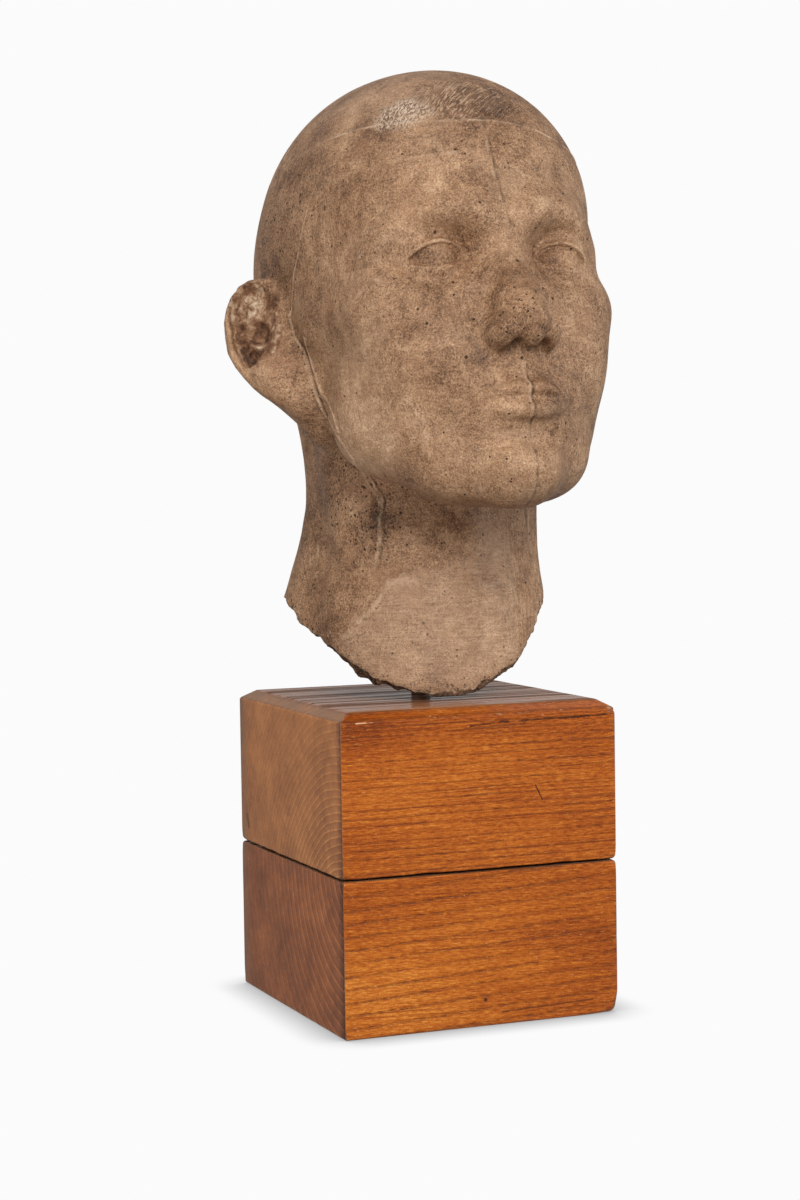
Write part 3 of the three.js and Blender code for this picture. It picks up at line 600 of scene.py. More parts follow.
def relief(P, m, raw):
    """Height of the fine modelling over the plain surface, mm; never far above it."""
    h = -0.16 * (0.5 + 0.5 * waves(P, 17.0, 2, 0)) - 0.05 * (1 + waves(P, 4.5, 2, 3))
    cap = m["cap_w"] * (0.36 * bell(m["cap"], 0.2, 1.1) - 0.24 * bell(m["cap"], 2.4, 1.6))
    mid = m["mid_w"] * (0.16 * bell(m["mid"], -1.6, 1.3) - 0.55 * bell(m["mid"], 0, 0.8) - 0.12 * bell(m["mid"], 2.5, 2.5))
    groove = m["side_w"] * (-0.45 * bell(m["side"], -1.7, 1.1) - 0.65 * bell(m["side"], 1.9, 1.2) + 0.30 * bell(m["side"], 0.1, 1.0))
    high = step(P[:, 2], 366, 376)
    ridge = m["side_w"] * (0.42 * bell(m["side"], 0, 1.3) - 0.25 * bell(m["side"], 2.4, 1.4))
    h += cap + mid + groove * (1 - high) + ridge * high
    left = 1 - step(P[:, 0], -16, 0)
    h += m["fold_w"] * (0.28 * left * (1 + 0.8 * wave(P, 5.0, 4)) * bell(m["fold"], -1.0, 1.7) - 0.65 * step(m["fold"], -3.5, 3.5))
    h += m["comb"] * (0.28 * np.sin(P[:, 0] * 2.1 + 1.2 * wave(P, 14.0, 3)) - 0.1)
    h += m["ear"] * (0.75 * waves(P, 4.6, 3, 5) - 0.45) + 0.8 * np.minimum(m["ear_tone"], 0.30) * np.minimum(np.abs(m["ear_tone"]), 1)
    h -= raw * (0.35 + 0.75 * waves(P, 3.4, 3, 2))
    h -= 0.9 * (1 - step(m["crack"], 0.1, 1.3))
    h += 0.40 * bell(m["ridges"], 0, 0.9) - 0.25 * bell(m["ridges"], 2.2, 1.0)
    return h


def make_head():
    h = 0.92
    lo, hi = np.array([-106.0, -146.0, 157.0]), np.array([116.0, 120.0, 492.0])
    V, Q = surface_nets(surface, lo, hi, h)
    me = bpy.data.meshes.new("head_fine")
    me.from_pydata((V * MM).tolist(), [], Q.tolist())
    me.update()
    N = np.empty(len(V) * 3, np.float32)
    me.vertex_normals.foreach_get("vector", N)
    N = N.reshape(-1, 3)
    skin, cut = whole(V), broken(V)
    raw = np.maximum(step(-skin, 0.45, 1.1), step(cut, -0.8, -0.1))
    V = V + N * (relief(V, marks(V), raw) - 0.02)[:, None]
    low, high = np.array(cad_box[0]) / MM + 0.05, np.array(cad_box[1]) / MM - 0.05
    V = np.clip(V, low, high)
    V[:, 2] = np.maximum(V[:, 2], REST + 0.02)
    me.vertices.foreach_set("co", (V * MM).astype(np.float32).ravel())
    me.update()
    fine = bpy.data.objects.new("head_fine", me)
    scene.collection.objects.link(fine)
    tris = 2 * len(Q)
    goal = 196000
    if tris > goal:
        mod = fine.modifiers.new("fewer", "DECIMATE")
        mod.ratio = goal / tris
    out = bpy.data.meshes.new_from_object(fine.evaluated_get(bpy.context.evaluated_depsgraph_get()))
    out.name = "cast_head"
    bpy.data.objects.remove(fine)
    bpy.data.meshes.remove(me)
    head = bpy.data.objects.new("cast_head", out)
    scene.collection.objects.link(head)
    smooth(out)
    head_values(out)
    return head


def smooth(me):
    me.polygons.foreach_set("use_smooth", [True] * len(me.polygons))
    me.update()


def put(me, name, values):
    a = me.attributes.new(name, "FLOAT", "POINT")
    a.data.foreach_set("value", np.asarray(values, np.float32))


# Soft patches of lighter (+) and darker (-) colour: middle, radius, amount. The darker ones over the left of the skull
# and down the left of the neck are painted shade.
PATCHES = [
    ((-58, -72, 345), 26, 0.45), ((-36, -108, 292), 22, 0.30), ((0, -44, 200), 34, 0.35), ((30, -40, 205), 26, 0.25),
    ((-34, -86, 424), 22, 0.30), ((24, -98, 420), 18, 0.25), ((40, -92, 352), 24, 0.30), ((-62, -52, 378), 18, 0.25),
    ((-72, 0, 405), 44, -0.48), ((-52, 22, 285), 36, -0.30), ((0, -52, 262), 26, 0.30), ((10, -80, 452), 8.5, -1.1),
    ((22, -76, 452), 7, -0.8), ((-31, -23, 254), 7, -1.2), ((-48, -58, 439), 9, -0.6), ((-40, -66, 441), 6, -0.8),
    ((-66, 6, 330), 16, -0.25), ((60, 40, 300), 40, -0.2), ((0, 90, 300), 50, -0.2),
    ((16, -70, 459), 22, -1.05), ((-54, 26, 222), 26, -0.45), ((-50, 4, 205), 20, -0.30), ((-46, 20, 250), 18, -0.30),
    ((-52, -44, 286), 16, 0.70), ((-60, -30, 312), 18, 0.15), ((-50, -70, 304), 24, 1.05), ((-48, -4, 206), 18, -0.45),
    ((-60, 24, 262), 16, -0.30),
    ((34, -58, 262), 24, 0.25),
]
# The same on the face, in the head's own axes.
FACE_PATCHES = [
    ((3, -110, -40), 13, -0.55), ((-12, -102, -42), 9, -0.45), ((14, -100, -44), 9, -0.4), ((17, -97, -72), 9, -0.75),
    ((-4, -102, -60), 7, 0.3), ((0, -98, 8), 10, 0.25), ((-20, -90, -95), 12, 0.3), ((30, -80, -2), 11, -0.2),
    ((-30, -80, -2), 11, -0.12), ((0, -101, -90), 10, -0.2), ((-18, -97, -73), 10, 0.12),
]


def head_values(me):
    n = len(me.vertices)
    co = np.empty(n * 3, np.float32)
    me.vertices.foreach_get("co", co)
    P = co.reshape(-1, 3).astype(float) / MM
    N = np.empty(n * 3, np.float32)
    me.vertex_normals.foreach_get("vector", N)
    N = N.reshape(-1, 3).astype(float)
    m = marks(P)
    for name in m:
        put(me, name, m[name])
    skin, cut = whole(P), broken(P)
    put(me, "raw", np.maximum(step(-skin, 0.5, 1.1), step(cut, -0.9, -0.1)) * step(cut, -14, -11))
    put(me, "to_break", np.clip(-cut, -2, 40))
    # darkening in the hollows, by how closed in each point is: painted shade
    cav = 0
    for reach, w in ((2.5, 0.35), (6.0, 0.35), (14.0, 0.3)):
        cav = cav + w * np.clip(1 - surface(P + N * reach) / reach, 0, 1.5)
    put(me, "hollow_shade", cav)
    # lighter on the ridges: rubbed wear, and a painted highlight along them
    edge = 0
    for reach, w in ((2.5, 0.6), (6.0, 0.4)):
        edge = edge + w * np.clip(1 + surface(P - N * reach) / reach, 0, 1.5)
    put(me, "edge", edge)
    tone = np.zeros(n)
    for c, r, a in PATCHES:
        tone += a * bell(np.linalg.norm(P - np.array(c), axis=1), 0, r)
    p = to_head(P)
    for c, r, a in FACE_PATCHES:
        tone += a * bell(np.linalg.norm(p - np.array(c), axis=1), 0, r)
    tone += 0.12 * waves(P, 30.0, 3, 4)
    put(me, "tone", tone)
    # where the crown was brushed on a slant, and where a highlight is painted onto a glossier patch of it
    brushed = bell(np.linalg.norm((P - np.array((-5, -70, 459))) / np.array((1.5, 1, 1)), axis=1), 0, 17)
    put(me, "brushed", brushed)
    gloss_and_painted_highlight = bell(np.linalg.norm((P - np.array((-33, -65, 450))) / np.array((1.45, 1, 0.8)), axis=1), 0, 13)
    put(me, "gloss_and_painted_highlight", step(gloss_and_painted_highlight + 0.22 * waves(P, 5.0, 2, 2), 0.22, 0.72))


# ================================================================ the plinth
WIDTH, DEPTH, SEAM, TOP = 148.5, 153.2, 78.3, 160.0
GAP = 0.3
CHAMFER = (7.0, 4.5)      # in plan, in height


def spaced(lo, hi, near, pitch, extra=()):
    """Grid lines: close together at both ends, then every pitch mm; extra are lines of their own."""
    v = [lo + d for d in near] + [hi - d for d in near]
    a, b = lo + near[-1], hi - near[-1]
    n = max(1, int(round((b - a) / pitch)))
    v += [a + (b - a) * i / n for i in range(1, n)]
    v += list(extra)
    v = np.unique(np.round(v, 3))
    keep = [v[0]]
    for x in v[1:]:
        if x - keep[-1] > 0.12:
            keep.append(x)
    keep[-1] = v[-1]
    return np.array(keep)


def box_grid(xs, ys, zs):
    shape = (len(xs), len(ys), len(zs))
    shell = np.zeros(shape, bool)
    shell[[0, -1]] = shell[:, [0, -1]] = shell[:, :, [0, -1]] = True
    ids = np.full(shape, -1, np.int64)
    idx = np.argwhere(shell)
    ids[tuple(idx.T)] = np.arange(len(idx))
    V = np.stack([xs[idx[:, 0]], ys[idx[:, 1]], zs[idx[:, 2]]], 1)
    F = []

    def sheet(a, flip):
        q = np.stack([a[:-1, :-1], a[1:, :-1], a[1:, 1:], a[:-1, 1:]], -1).reshape(-1, 4)
        F.append(q[:, ::-1] if flip else q)
    sheet(ids[:, :, -1], False)
    sheet(ids[:, :, 0], True)
    sheet(ids[-1], False)
    sheet(ids[0], True)
    sheet(ids[:, -1, :], True)
    sheet(ids[:, 0, :], False)
    return V, np.concatenate(F)


def wear(P, seed):
    """Radius of a worn edge, mm."""
    return 0.55 + 0.35 * (1 + wave(P, 21.0, seed)) * 0.5 + 0.5 * np.clip(wave(P, 6.5, seed + 1) - 0.25, 0, 1)


def rounded(P, z0, z1, r):
    q = np.stack([np.abs(P[:, 0]) - WIDTH / 2, np.abs(P[:, 1]) - DEPTH / 2, np.maximum(P[:, 2] - z1, z0 - P[:, 2])], 1) + r[:, None]
    return np.sqrt((np.maximum(q, 0) ** 2).sum(1)) + np.minimum(q.max(1), 0) - r


def corner_near(P, size):
    """1 at the four upright edges, falling off over size mm."""
    d = np.hypot(np.abs(P[:, 0]) - WIDTH / 2, np.abs(P[:, 1]) - DEPTH / 2)
    return np.exp(-(d / size) ** 2)


def rise_to_edge(P, over):
    d = np.minimum(WIDTH / 2 - np.abs(P[:, 0]), DEPTH / 2 - np.abs(P[:, 1]))
    return 1 - step(d, 0, over)


def lower_block(P):
    r = wear(P, 0) + 1.0 * corner_near(P, 5.0) * step(P[:, 2], SEAM - 8, SEAM)
    r = r + 2.6 * bell(np.hypot(P[:, 0] - WIDTH / 2, P[:, 1] + DEPTH / 2), 0, 11) * (1 - step(P[:, 2], 3, 12))
    r = r + 0.9 * (1 - step(P[:, 2], 2, 10))
    top = SEAM - rise_to_edge(P, 16) * (0.50 + 0.28 * wave(P, 17.0, 2) + 0.16 * wave(P, 4.0, 3))
    d = rounded(P, 0.02, top, r)
    d = np.maximum(d, -tube(P, [(2, -76.9, 13.6), (0.9, -75.6, 13.4)], [0.75, 0.6]))
    for c, s in (((-74.6, -20.0, SEAM), (1.5, 5.0, 1.4)), ((30, -77, SEAM), (7, 1.6, 0.9)), ((-38, -77.2, SEAM + 0.4), (9, 1.8, 1.3)),
                 ((-20, -77, -0.1), (6, 1.5, 1.3)), ((20, -77, -0.2), (9, 1.4, 1.2))):
        d = smax(d, -ellipsoid(P, c, s), 0.4)
    return d


CRACK = [(-5.8, 150.5), (5, 151.4), (11.6, 151.6), (21.4, 151.8), (32.4, 152.0), (40.7, 151.8), (51.8, 152.0), (60.8, 152.2), (71.4, 152.7), (75.2, 153.0)]


def upper_block(P):
    foot = SEAM + GAP
    r = wear(P, 4) + 1.5 * corner_near(P, 4.0) * (1 - step(P[:, 2], foot, foot + 6))
    bottom = foot + rise_to_edge(P, 16) * (0.42 + 0.26 * wave(P, 14.0, 5) + 0.2 * wave(P, 3.6, 6))
    d = rounded(P, bottom, TOP - 0.02, r)
    k = math.hypot(*CHAMFER)
    for axis, half in ((0, WIDTH / 2), (1, DEPTH / 2)):
        plane = ((np.abs(P[:, axis]) - half) * CHAMFER[1] + (P[:, 2] - (TOP - CHAMFER[1])) * CHAMFER[0]) / k
        d = smax(d, plane + 0.10 * (1 + wave(P, 11.0, 7)), 0.7)
    # the grain has opened below the chamfer, towards the right
    line = [(x, -77.0, z) for x, z in CRACK]
    wide = [0.02, 0.05, 0.20, 0.36, 0.36, 0.22, 0.12, 0.18, 0.45, 0.85]
    slit = tube(P, line, wide) + 0.35 * wave(P, 3.0, 1)
    d = smax(d, -slit, 0.3)
    d = smax(d, -ellipsoid(P, (73.6, -77.2, 154.2), (3.0, 2.2, 0.9), (0, -4, 0)), 0.4)
    for c, s in (((-60, -77.2, 155.6), (8, 1.3, 0.8)), ((-74.8, -40, foot), (1.4, 6, 1.0)), ((-30, -77, foot), (8, 1.4, 1.0)), ((44, -77, foot), (9, 1.5, 1.1))):
        d = smax(d, -ellipsoid(P, c, s), 0.4)
    return d


NEAR = [0, 0.3, 0.6, 0.95, 1.35, 1.9, 2.7, 3.8]


def make_block(name, fn, z0, z1, xs, ys, zs):
    V, F = box_grid(xs, ys, zs)
    half = np.array([WIDTH / 2, DEPTH / 2])
    core = V.copy()
    core[:, 0] = np.clip(core[:, 0], -half[0] + 13, half[0] - 13)
    core[:, 1] = np.clip(core[:, 1], -half[1] + 13, half[1] - 13)
    core[:, 2] = np.clip(core[:, 2], z0 + 13, z1 - 13)
    D = core - V
    far = np.linalg.norm(D, axis=1)
    D /= far[:, None]
    t = np.zeros(len(V))
    for _ in range(40):
        t = np.clip(t + np.maximum(fn(V + D * t[:, None]), -0.05), 0, far)
    V = V + D * t[:, None]
    me = bpy.data.meshes.new(name)
    me.from_pydata((V * MM).tolist(), [], F.tolist())
    me.update()
    o = bpy.data.objects.new(name, me)
    scene.collection.objects.link(o)
    smooth(me)
    # how far the surface lies inside the plain block: worn edges, chips and cracks
    plain = rounded(V, z0, z1, np.full(len(V), 0.01))
    put(me, "inset", -plain)
    slit = tube(V, [(x, -77.0, z) for x, z in CRACK], [0.5] * len(CRACK))
    put(me, "slit", np.clip(slit, -1, 20))
    d = np.minimum(WIDTH / 2 - np.abs(V[:, 0]), DEPTH / 2 - np.abs(V[:, 1]))
    put(me, "seam", np.hypot(np.abs(V[:, 2] - (SEAM + GAP / 2)), np.maximum(d - 1.0, 0) * 0.0) * 1.0)
    return o


def make_plinth():
    xs = spaced(-WIDTH / 2, WIDTH / 2, NEAR, 2.2)
    ys = spaced(-DEPTH / 2, DEPTH / 2, NEAR, 2.2)
    lower = make_block("plinth_lower", lower_block, 0, SEAM, xs, ys, spaced(0, SEAM, NEAR, 3.2, [12.6, 13.0, 13.4, 13.8, 14.2]))
    cracks = list(np.arange(147.8, 154.9, 0.35))
    xs = spaced(-WIDTH / 2, WIDTH / 2, NEAR + [5.4, 7.0], 1.7)
    ys = spaced(-DEPTH / 2, DEPTH / 2, NEAR + [5.4, 7.0], 2.2)
    upper = make_block("plinth_upper", upper_block, SEAM + GAP, TOP, xs, ys, spaced(SEAM + GAP, TOP, NEAR, 3.2, cracks))
    return upper, lower


# ================================================================ the rod
def make_rod():
    z0, z1, r, n = 136.3, 231.6, 4.97, 64
    zs = [z0, z0, z0 + 0.6] + [z0 + 0.6 + (z1 - z0 - 1.2) * i / 46 for i in range(1, 47)] + [z1]
    rs = [0.0, r - 0.6] + [r] * 47 + [r - 0.6]
    V, F = [(0, 0, z0)], []
    rings = list(zip(zs[1:], rs[1:]))
    for k, (z, q) in enumerate(rings):
        for i in range(n):
            a = 2 * math.pi * i / n
            # a shade out of round, with the file marks of a hand-cut bar
            s = q - 0.05 * (1 + math.sin(2 * a + 0.7)) * 0.5 - 0.03 * (1 + math.sin(5 * a + 1.7 * z)) * 0.5
            V.append((s * math.cos(a), s * math.sin(a), z))
    V.append((0, 0, z1))
    for i in range(n):
        j = (i + 1) % n
        F.append((0, 1 + j, 1 + i))
        for k in range(len(rings) - 1):
            a, b = 1 + k * n, 1 + (k + 1) * n
            F.append((a + i, a + j, b + j, b + i))
        last = 1 + (len(rings) - 1) * n
        F.append((last + i, last + j, len(V) - 1))
    me = bpy.data.meshes.new("rod")
    me.from_pydata([(x * MM, y * MM, z * MM) for x, y, z in V], [], F)
    me.update()
    o = bpy.data.objects.new("rod", me)
    scene.collection.objects.link(o)
    smooth(me)
    return o


# ================================================================ materials
class Look:
    """A principled material built by short calls; lengths are in mm of the part's own axes."""

    def __init__(self, name):
        self.mat = bpy.data.materials.new(name)
        self.mat.use_nodes = True
        self.tree = self.mat.node_tree
        self.tree.nodes.clear()
        out = self.tree.nodes.new("ShaderNodeOutputMaterial")
        self.bsdf = self.tree.nodes.new("ShaderNodeBsdfPrincipled")
        self.tree.links.new(self.bsdf.outputs[0], out.inputs[0])
        coord = self.tree.nodes.new("ShaderNodeTexCoord")
        self.normal = coord.outputs["Normal"]
        self.mm = self.scaled(coord.outputs["Object"], (1000, 1000, 1000))

    def node(self, kind, **props):
        n = self.tree.nodes.new(kind)
        for k, v in props.items():
            setattr(n, k, v)
        return n

    def put(self, socket, v):
        if isinstance(v, bpy.types.NodeSocket):
            self.tree.links.new(v, socket)
        elif isinstance(v, (tuple, list)) and len(v) == 3 and socket.type == "RGBA":
            socket.default_value = (*v, 1)
        else:
            socket.default_value = v

    def scaled(self, vec, s, turn=(0, 0, 0), at=(0, 0, 0)):
        n = self.node("ShaderNodeMapping", vector_type="POINT")
        self.put(n.inputs["Vector"], vec)
        n.inputs["Scale"].default_value = s
        n.inputs["Rotation"].default_value = [math.radians(a) for a in turn]
        n.inputs["Location"].default_value = at
        return n.outputs[0]

    def math(self, op, a, b=None, c=None, clamp=False):
        n = self.node("ShaderNodeMath", operation=op, use_clamp=clamp)
        for i, v in enumerate((a, b, c)):
            if v is not None:
                self.put(n.inputs[i], v)
        return n.outputs[0]

    def add(self, *v):
        out = v[0]
        for w in v[1:]:
            out = self.math("ADD", out, w)
        return out

    def mul(self, *v):
        out = v[0]
        for w in v[1:]:
            out = self.math("MULTIPLY", out, w)
        return out

    def noise(self, vec, size, detail=2.0, rough=0.5, twist=0.0, w=None):
        n = self.node("ShaderNodeTexNoise", noise_dimensions="3D")
        self.put(n.inputs["Vector"], vec)
        n.inputs["Scale"].default_value = 1.0 / size
        n.inputs["Detail"].default_value = detail
        n.inputs["Roughness"].default_value = rough
        n.inputs["Distortion"].default_value = twist
        return n.outputs["Fac"]

    def cells(self, vec, size, feature="F1"):
        n = self.node("ShaderNodeTexVoronoi", voronoi_dimensions="3D", feature=feature)
        self.put(n.inputs["Vector"], vec)
        n.inputs["Scale"].default_value = 1.0 / size
        return n

    def range(self, v, a, b, c=0.0, d=1.0, soft=True):
        n = self.node("ShaderNodeMapRange", interpolation_type="SMOOTHSTEP" if soft else "LINEAR")
        self.put(n.inputs["Value"], v)
        for k, w in (("From Min", a), ("From Max", b), ("To Min", c), ("To Max", d)):
            self.put(n.inputs[k], w)
        return n.outputs["Result"]

    def ramp(self, fac, stops):
        n = self.node("ShaderNodeValToRGB")
        r = n.color_ramp
        while len(r.elements) < len(stops):
            r.elements.new(0.5)
        for e, (pos, col) in zip(r.elements, stops):
            e.position = pos
            e.color = (*col, 1)
        self.put(n.inputs[0], fac)
        return n.outputs[0]

    def mix(self, fac, a, b, mode="MIX"):
        n = self.node("ShaderNodeMix", data_type="RGBA", blend_type=mode, clamp_factor=True)
        self.put(n.inputs[0], fac)
        self.put(n.inputs[6], a)
        self.put(n.inputs[7], b)
        return n.outputs[2]

    def fmix(self, fac, a, b):
        n = self.node("ShaderNodeMix", data_type="FLOAT", clamp_factor=True)
        self.put(n.inputs[0], fac)
        self.put(n.inputs[2], a)
        self.put(n.inputs[3], b)
        return n.outputs[0]

    def attr(self, name):
        return self.node("ShaderNodeAttribute", attribute_type="GEOMETRY", attribute_name=name).outputs["Fac"]

    def bump(self, height, strength, distance, normal=None):
        n = self.node("ShaderNodeBump")
        n.inputs["Strength"].default_value = strength
        n.inputs["Distance"].default_value = distance
        self.put(n.inputs["Height"], height)
        if normal is not None:
            self.put(n.inputs["Normal"], normal)
        return n.outputs[0]

    def line(self, dist, half, soft, weight):
        """1 on a line where dist is near 0."""
        return self.mul(self.range(self.math("ABSOLUTE", dist), half, half + soft, 1.0, 0.0), weight)


def composition():
    L = Look("cast_composition")
    mm = L.mm
    broad = L.noise(mm, 34, 4, 0.55, 0.3)
    blotch = L.noise(mm, 8.5, 4, 0.62, 0.4)
    fleck = L.noise(mm, 2.5, 3, 0.72)
    grain = L.noise(mm, 0.80, 2, 0.70)
    # faint strokes of the tools: upright on the temples and cheeks, level on the brow and the neck
    upstroke = L.noise(L.scaled(mm, (1.0, 1.0, 0.10)), 1.25, 3, 0.62)
    crossstroke = L.noise(L.scaled(mm, (0.10, 0.16, 1.0)), 1.35, 3, 0.62)
    where = L.range(L.noise(mm, 26, 2, 0.5), 0.42, 0.58)
    stroke = L.fmix(where, upstroke, crossstroke)
    spread = L.add(0.5, L.mul(L.add(broad, -0.5), 0.75), L.mul(L.add(blotch, -0.5), 0.66), L.mul(L.add(fleck, -0.5), 0.55), L.mul(L.add(grain, -0.5), 1.25),
                   L.mul(L.add(stroke, -0.5), 0.36))
    # darker in the hollows: painted shade; lighter on the ridges: rubbed wear with a painted highlight
    tone = L.add(spread, L.mul(L.attr("tone"), 0.20), L.mul(L.attr("edge"), 0.22), L.mul(L.attr("hollow_shade"), -0.30))
    col = L.ramp(tone, [
        (0.02, (0.045, 0.019, 0.008)), (0.20, (0.135, 0.063, 0.029)), (0.40, (0.262, 0.139, 0.071)),
        (0.58, (0.374, 0.214, 0.116)), (0.78, (0.505, 0.312, 0.182)), (0.98, (0.680, 0.470, 0.300))])
    drift = L.noise(mm, 23, 3, 0.5)
    col = L.mix(L.range(drift, 0.54, 0.74, 0.0, 0.40), col, (0.320, 0.155, 0.078))
    col = L.mix(L.range(drift, 0.46, 0.30, 0.0, 0.22), col, (0.260, 0.170, 0.105))

    # dark and pale grains, denser in some places
    dense = L.range(L.add(L.noise(mm, 15, 3), L.mul(L.attr("tone"), -0.18), L.mul(L.attr("pitted"), 0.12)), 0.38, 0.60, 0.25, 1.0)
    dots = L.noise(L.scaled(mm, (1, 1, 1), at=(7, 3, 5)), 1.15, 2, 0.6)
    darkgrain = L.mul(L.range(dots, 0.43, 0.35), dense)
    palegrain = L.range(L.noise(L.scaled(mm, (1, 1, 1), at=(1, 9, 2)), 1.15, 2, 0.6), 0.60, 0.70)
    col = L.mix(L.mul(darkgrain, 0.56), col, (0.062, 0.029, 0.015))
    col = L.mix(L.mul(palegrain, 0.36), col, (0.600, 0.420, 0.285))
    scuff = L.mul(L.range(L.noise(mm, 5.0, 5, 0.74, 0.6), 0.54, 0.66), L.range(L.add(L.noise(mm, 30, 2), L.mul(L.attr("tone"), 0.18)), 0.47, 0.62))
    col = L.mix(L.mul(scuff, 0.36), col, (0.580, 0.395, 0.260))

    # bubbles: three sizes, each only in some of its cells
    pitted = L.attr("pitted")
    side, side_w = L.attr("side"), L.attr("side_w")
    sep = L.node("ShaderNodeSeparateXYZ")
    L.put(sep.inputs[0], mm)
    upper = L.range(sep.outputs["Z"], 362, 376)
    lower = L.math("SUBTRACT", 1.0, upper)
    along = L.mul(L.line(L.add(side, -0.8), 0.6, 1.6, side_w), lower)
    share = L.math("MAXIMUM", L.mul(pitted, 0.34), L.mul(along, 0.75))
    share = L.math("MAXIMUM", share, L.range(L.attr("to_break"), 11.0, 2.0, 0.014, 0.40))
    pits = None
    for size, radius, k in ((1.9, 0.30, 1.0), (3.1, 0.24, 1.0), (7.0, 0.13, 1.6)):
        c = L.cells(mm, size)
        some = L.math("LESS_THAN", L.node_split(c.outputs["Color"]), L.mul(share, k))
        spot = L.mul(L.range(c.outputs["Distance"], radius * 0.55, radius * 1.15, 1.0, 0.0), some)
        pits = spot if pits is None else L.math("MAXIMUM", pits, spot)
    col = L.mix(L.mul(pits, 0.88), col, (0.022, 0.012, 0.007))

    # seams of the mould
    rag = L.noise(mm, 2.6, 3, 0.7)
    gaps = L.range(L.noise(mm, 7.5, 3, 0.6), 0.40, 0.58)
    cap, cap_w = L.attr("cap"), L.attr("cap_w")
    light_cap = L.mul(L.line(L.add(cap, L.mul(L.add(rag, -0.5), 1.2)), 0.15, 1.15, cap_w), L.add(0.3, gaps))
    dark_cap = L.mul(L.line(L.add(cap, -2.0), 0.5, 2.6, cap_w), L.range(L.add(L.noise(mm, 13, 3), L.mul(rag, 0.3)), 0.62, 0.80), 0.7)
    mid, mid_w = L.add(L.attr("mid"), L.mul(L.add(rag, -0.5), 1.6)), L.attr("mid_w")
    dark_mid = L.mul(L.line(mid, 0.05, 0.85, mid_w), L.range(L.noise(mm, 6.5, 3, 0.6), 0.40, 0.54, 0.25, 1.0))
    light_mid = L.mul(L.line(L.add(mid, 1.7), 0.2, 1.4, mid_w), 0.6, L.add(0.3, gaps))
    crumb = L.range(L.add(rag, L.mul(L.noise(mm, 1.1, 2), 0.35)), 0.60, 0.80)
    dark_side = L.mul(L.line(L.add(side, L.mul(L.add(rag, -0.5), 2.0), 1.7), 0.1, 1.1, side_w), L.add(0.30, L.mul(crumb, 0.7)), L.add(lower, 0.3))
    light_side = L.mul(L.line(side, 0.15, 1.0, side_w), L.add(0.30, gaps), L.add(upper, L.mul(lower, 0.8)))
    ridges = L.mul(L.line(L.attr("ridges"), 0.15, 1.1, 1.0), L.add(0.50, gaps), 0.95)
    pale = L.mul(L.line(L.add(L.attr("pale_lines"), L.mul(L.add(rag, -0.5), 3.2)), 0.1, 1.5, 1.0), L.add(0.10, gaps), 0.60)
    ridges = L.math("MAXIMUM", ridges, pale)
    fold, fold_w = L.add(L.attr("fold"), L.mul(L.add(rag, -0.5), 7.0)), L.attr("fold_w")
    left = L.range(sep.outputs["X"], -4, -20)
    light_fold = L.mul(L.line(L.add(fold, 1.4), 0.2, 2.4, fold_w), L.add(0.05, gaps), L.add(0.15, left), 0.65)
    plane = L.mul(L.range(fold, 3.5, -5.0), fold_w)
    col = L.mix(L.mul(plane, 0.25), col, (0.500, 0.335, 0.220))
    light = L.math("MAXIMUM", L.math("MAXIMUM", light_cap, light_mid), L.math("MAXIMUM", light_side, light_fold))
    light = L.math("MAXIMUM", light, ridges)
    dark = L.math("MAXIMUM", L.math("MAXIMUM", dark_cap, dark_mid), dark_side)
    col = L.mix(L.mul(light, 0.58), col, (0.620, 0.430, 0.285))
    col = L.mix(L.mul(dark, 0.75), col, (0.035, 0.019, 0.011))
    fissure = L.range(L.add(L.attr("crack"), L.mul(L.add(rag, -0.5), 1.6)), 0.9, 0.1)
    col = L.mix(L.mul(fissure, 0.9), col, (0.018, 0.010, 0.006))

    # brush marks: level on the front of the neck, upright at its right, slanting on the crown
    level = L.noise(L.scaled(mm, (0.11, 0.11, 1.0)), 0.95, 3, 0.62)
    upright = L.noise(L.scaled(mm, (1.0, 1.0, 0.09)), 1.0, 3, 0.62)
    comb = L.attr("comb")
    strokes = L.add(L.mul(L.range(level, 0.52, 0.66), plane), L.mul(L.range(upright, 0.52, 0.66), comb))
    furrows = L.add(L.mul(L.range(level, 0.46, 0.34), plane), L.mul(L.range(upright, 0.46, 0.34), comb))
    col = L.mix(L.mul(strokes, 0.20), col, (0.600, 0.430, 0.300))
    col = L.mix(L.mul(furrows, 0.24), col, (0.120, 0.064, 0.036))
    hair = L.noise(L.drawn((0.704, 0.549, 0.454), 0.10), 0.92, 1, 0.5, 0.15)
    brushed = L.attr("brushed")
    gloss_and_painted_highlight = L.attr("gloss_and_painted_highlight")
    col = L.mix(L.mul(L.range(hair, 0.53, 0.64), brushed, 0.60), col, (0.600, 0.420, 0.280))
    col = L.mix(L.mul(L.range(hair, 0.48, 0.38), brushed, 0.58), col, (0.085, 0.042, 0.022))
    # the crown highlight is painted here in pale grains with darker gaps, over a glossier patch
    scuffed = L.noise(L.drawn((0.704, 0.549, 0.454), 0.30), 0.85, 2, 0.62)
    bright = L.range(L.add(scuffed, L.mul(L.add(fleck, -0.5), 0.35)), 0.44, 0.58)
    col = L.mix(L.mul(bright, gloss_and_painted_highlight, 0.78), col, (0.740, 0.560, 0.405))
    col = L.mix(L.mul(L.range(scuffed, 0.45, 0.34), gloss_and_painted_highlight, 0.50), col, (0.130, 0.070, 0.040))

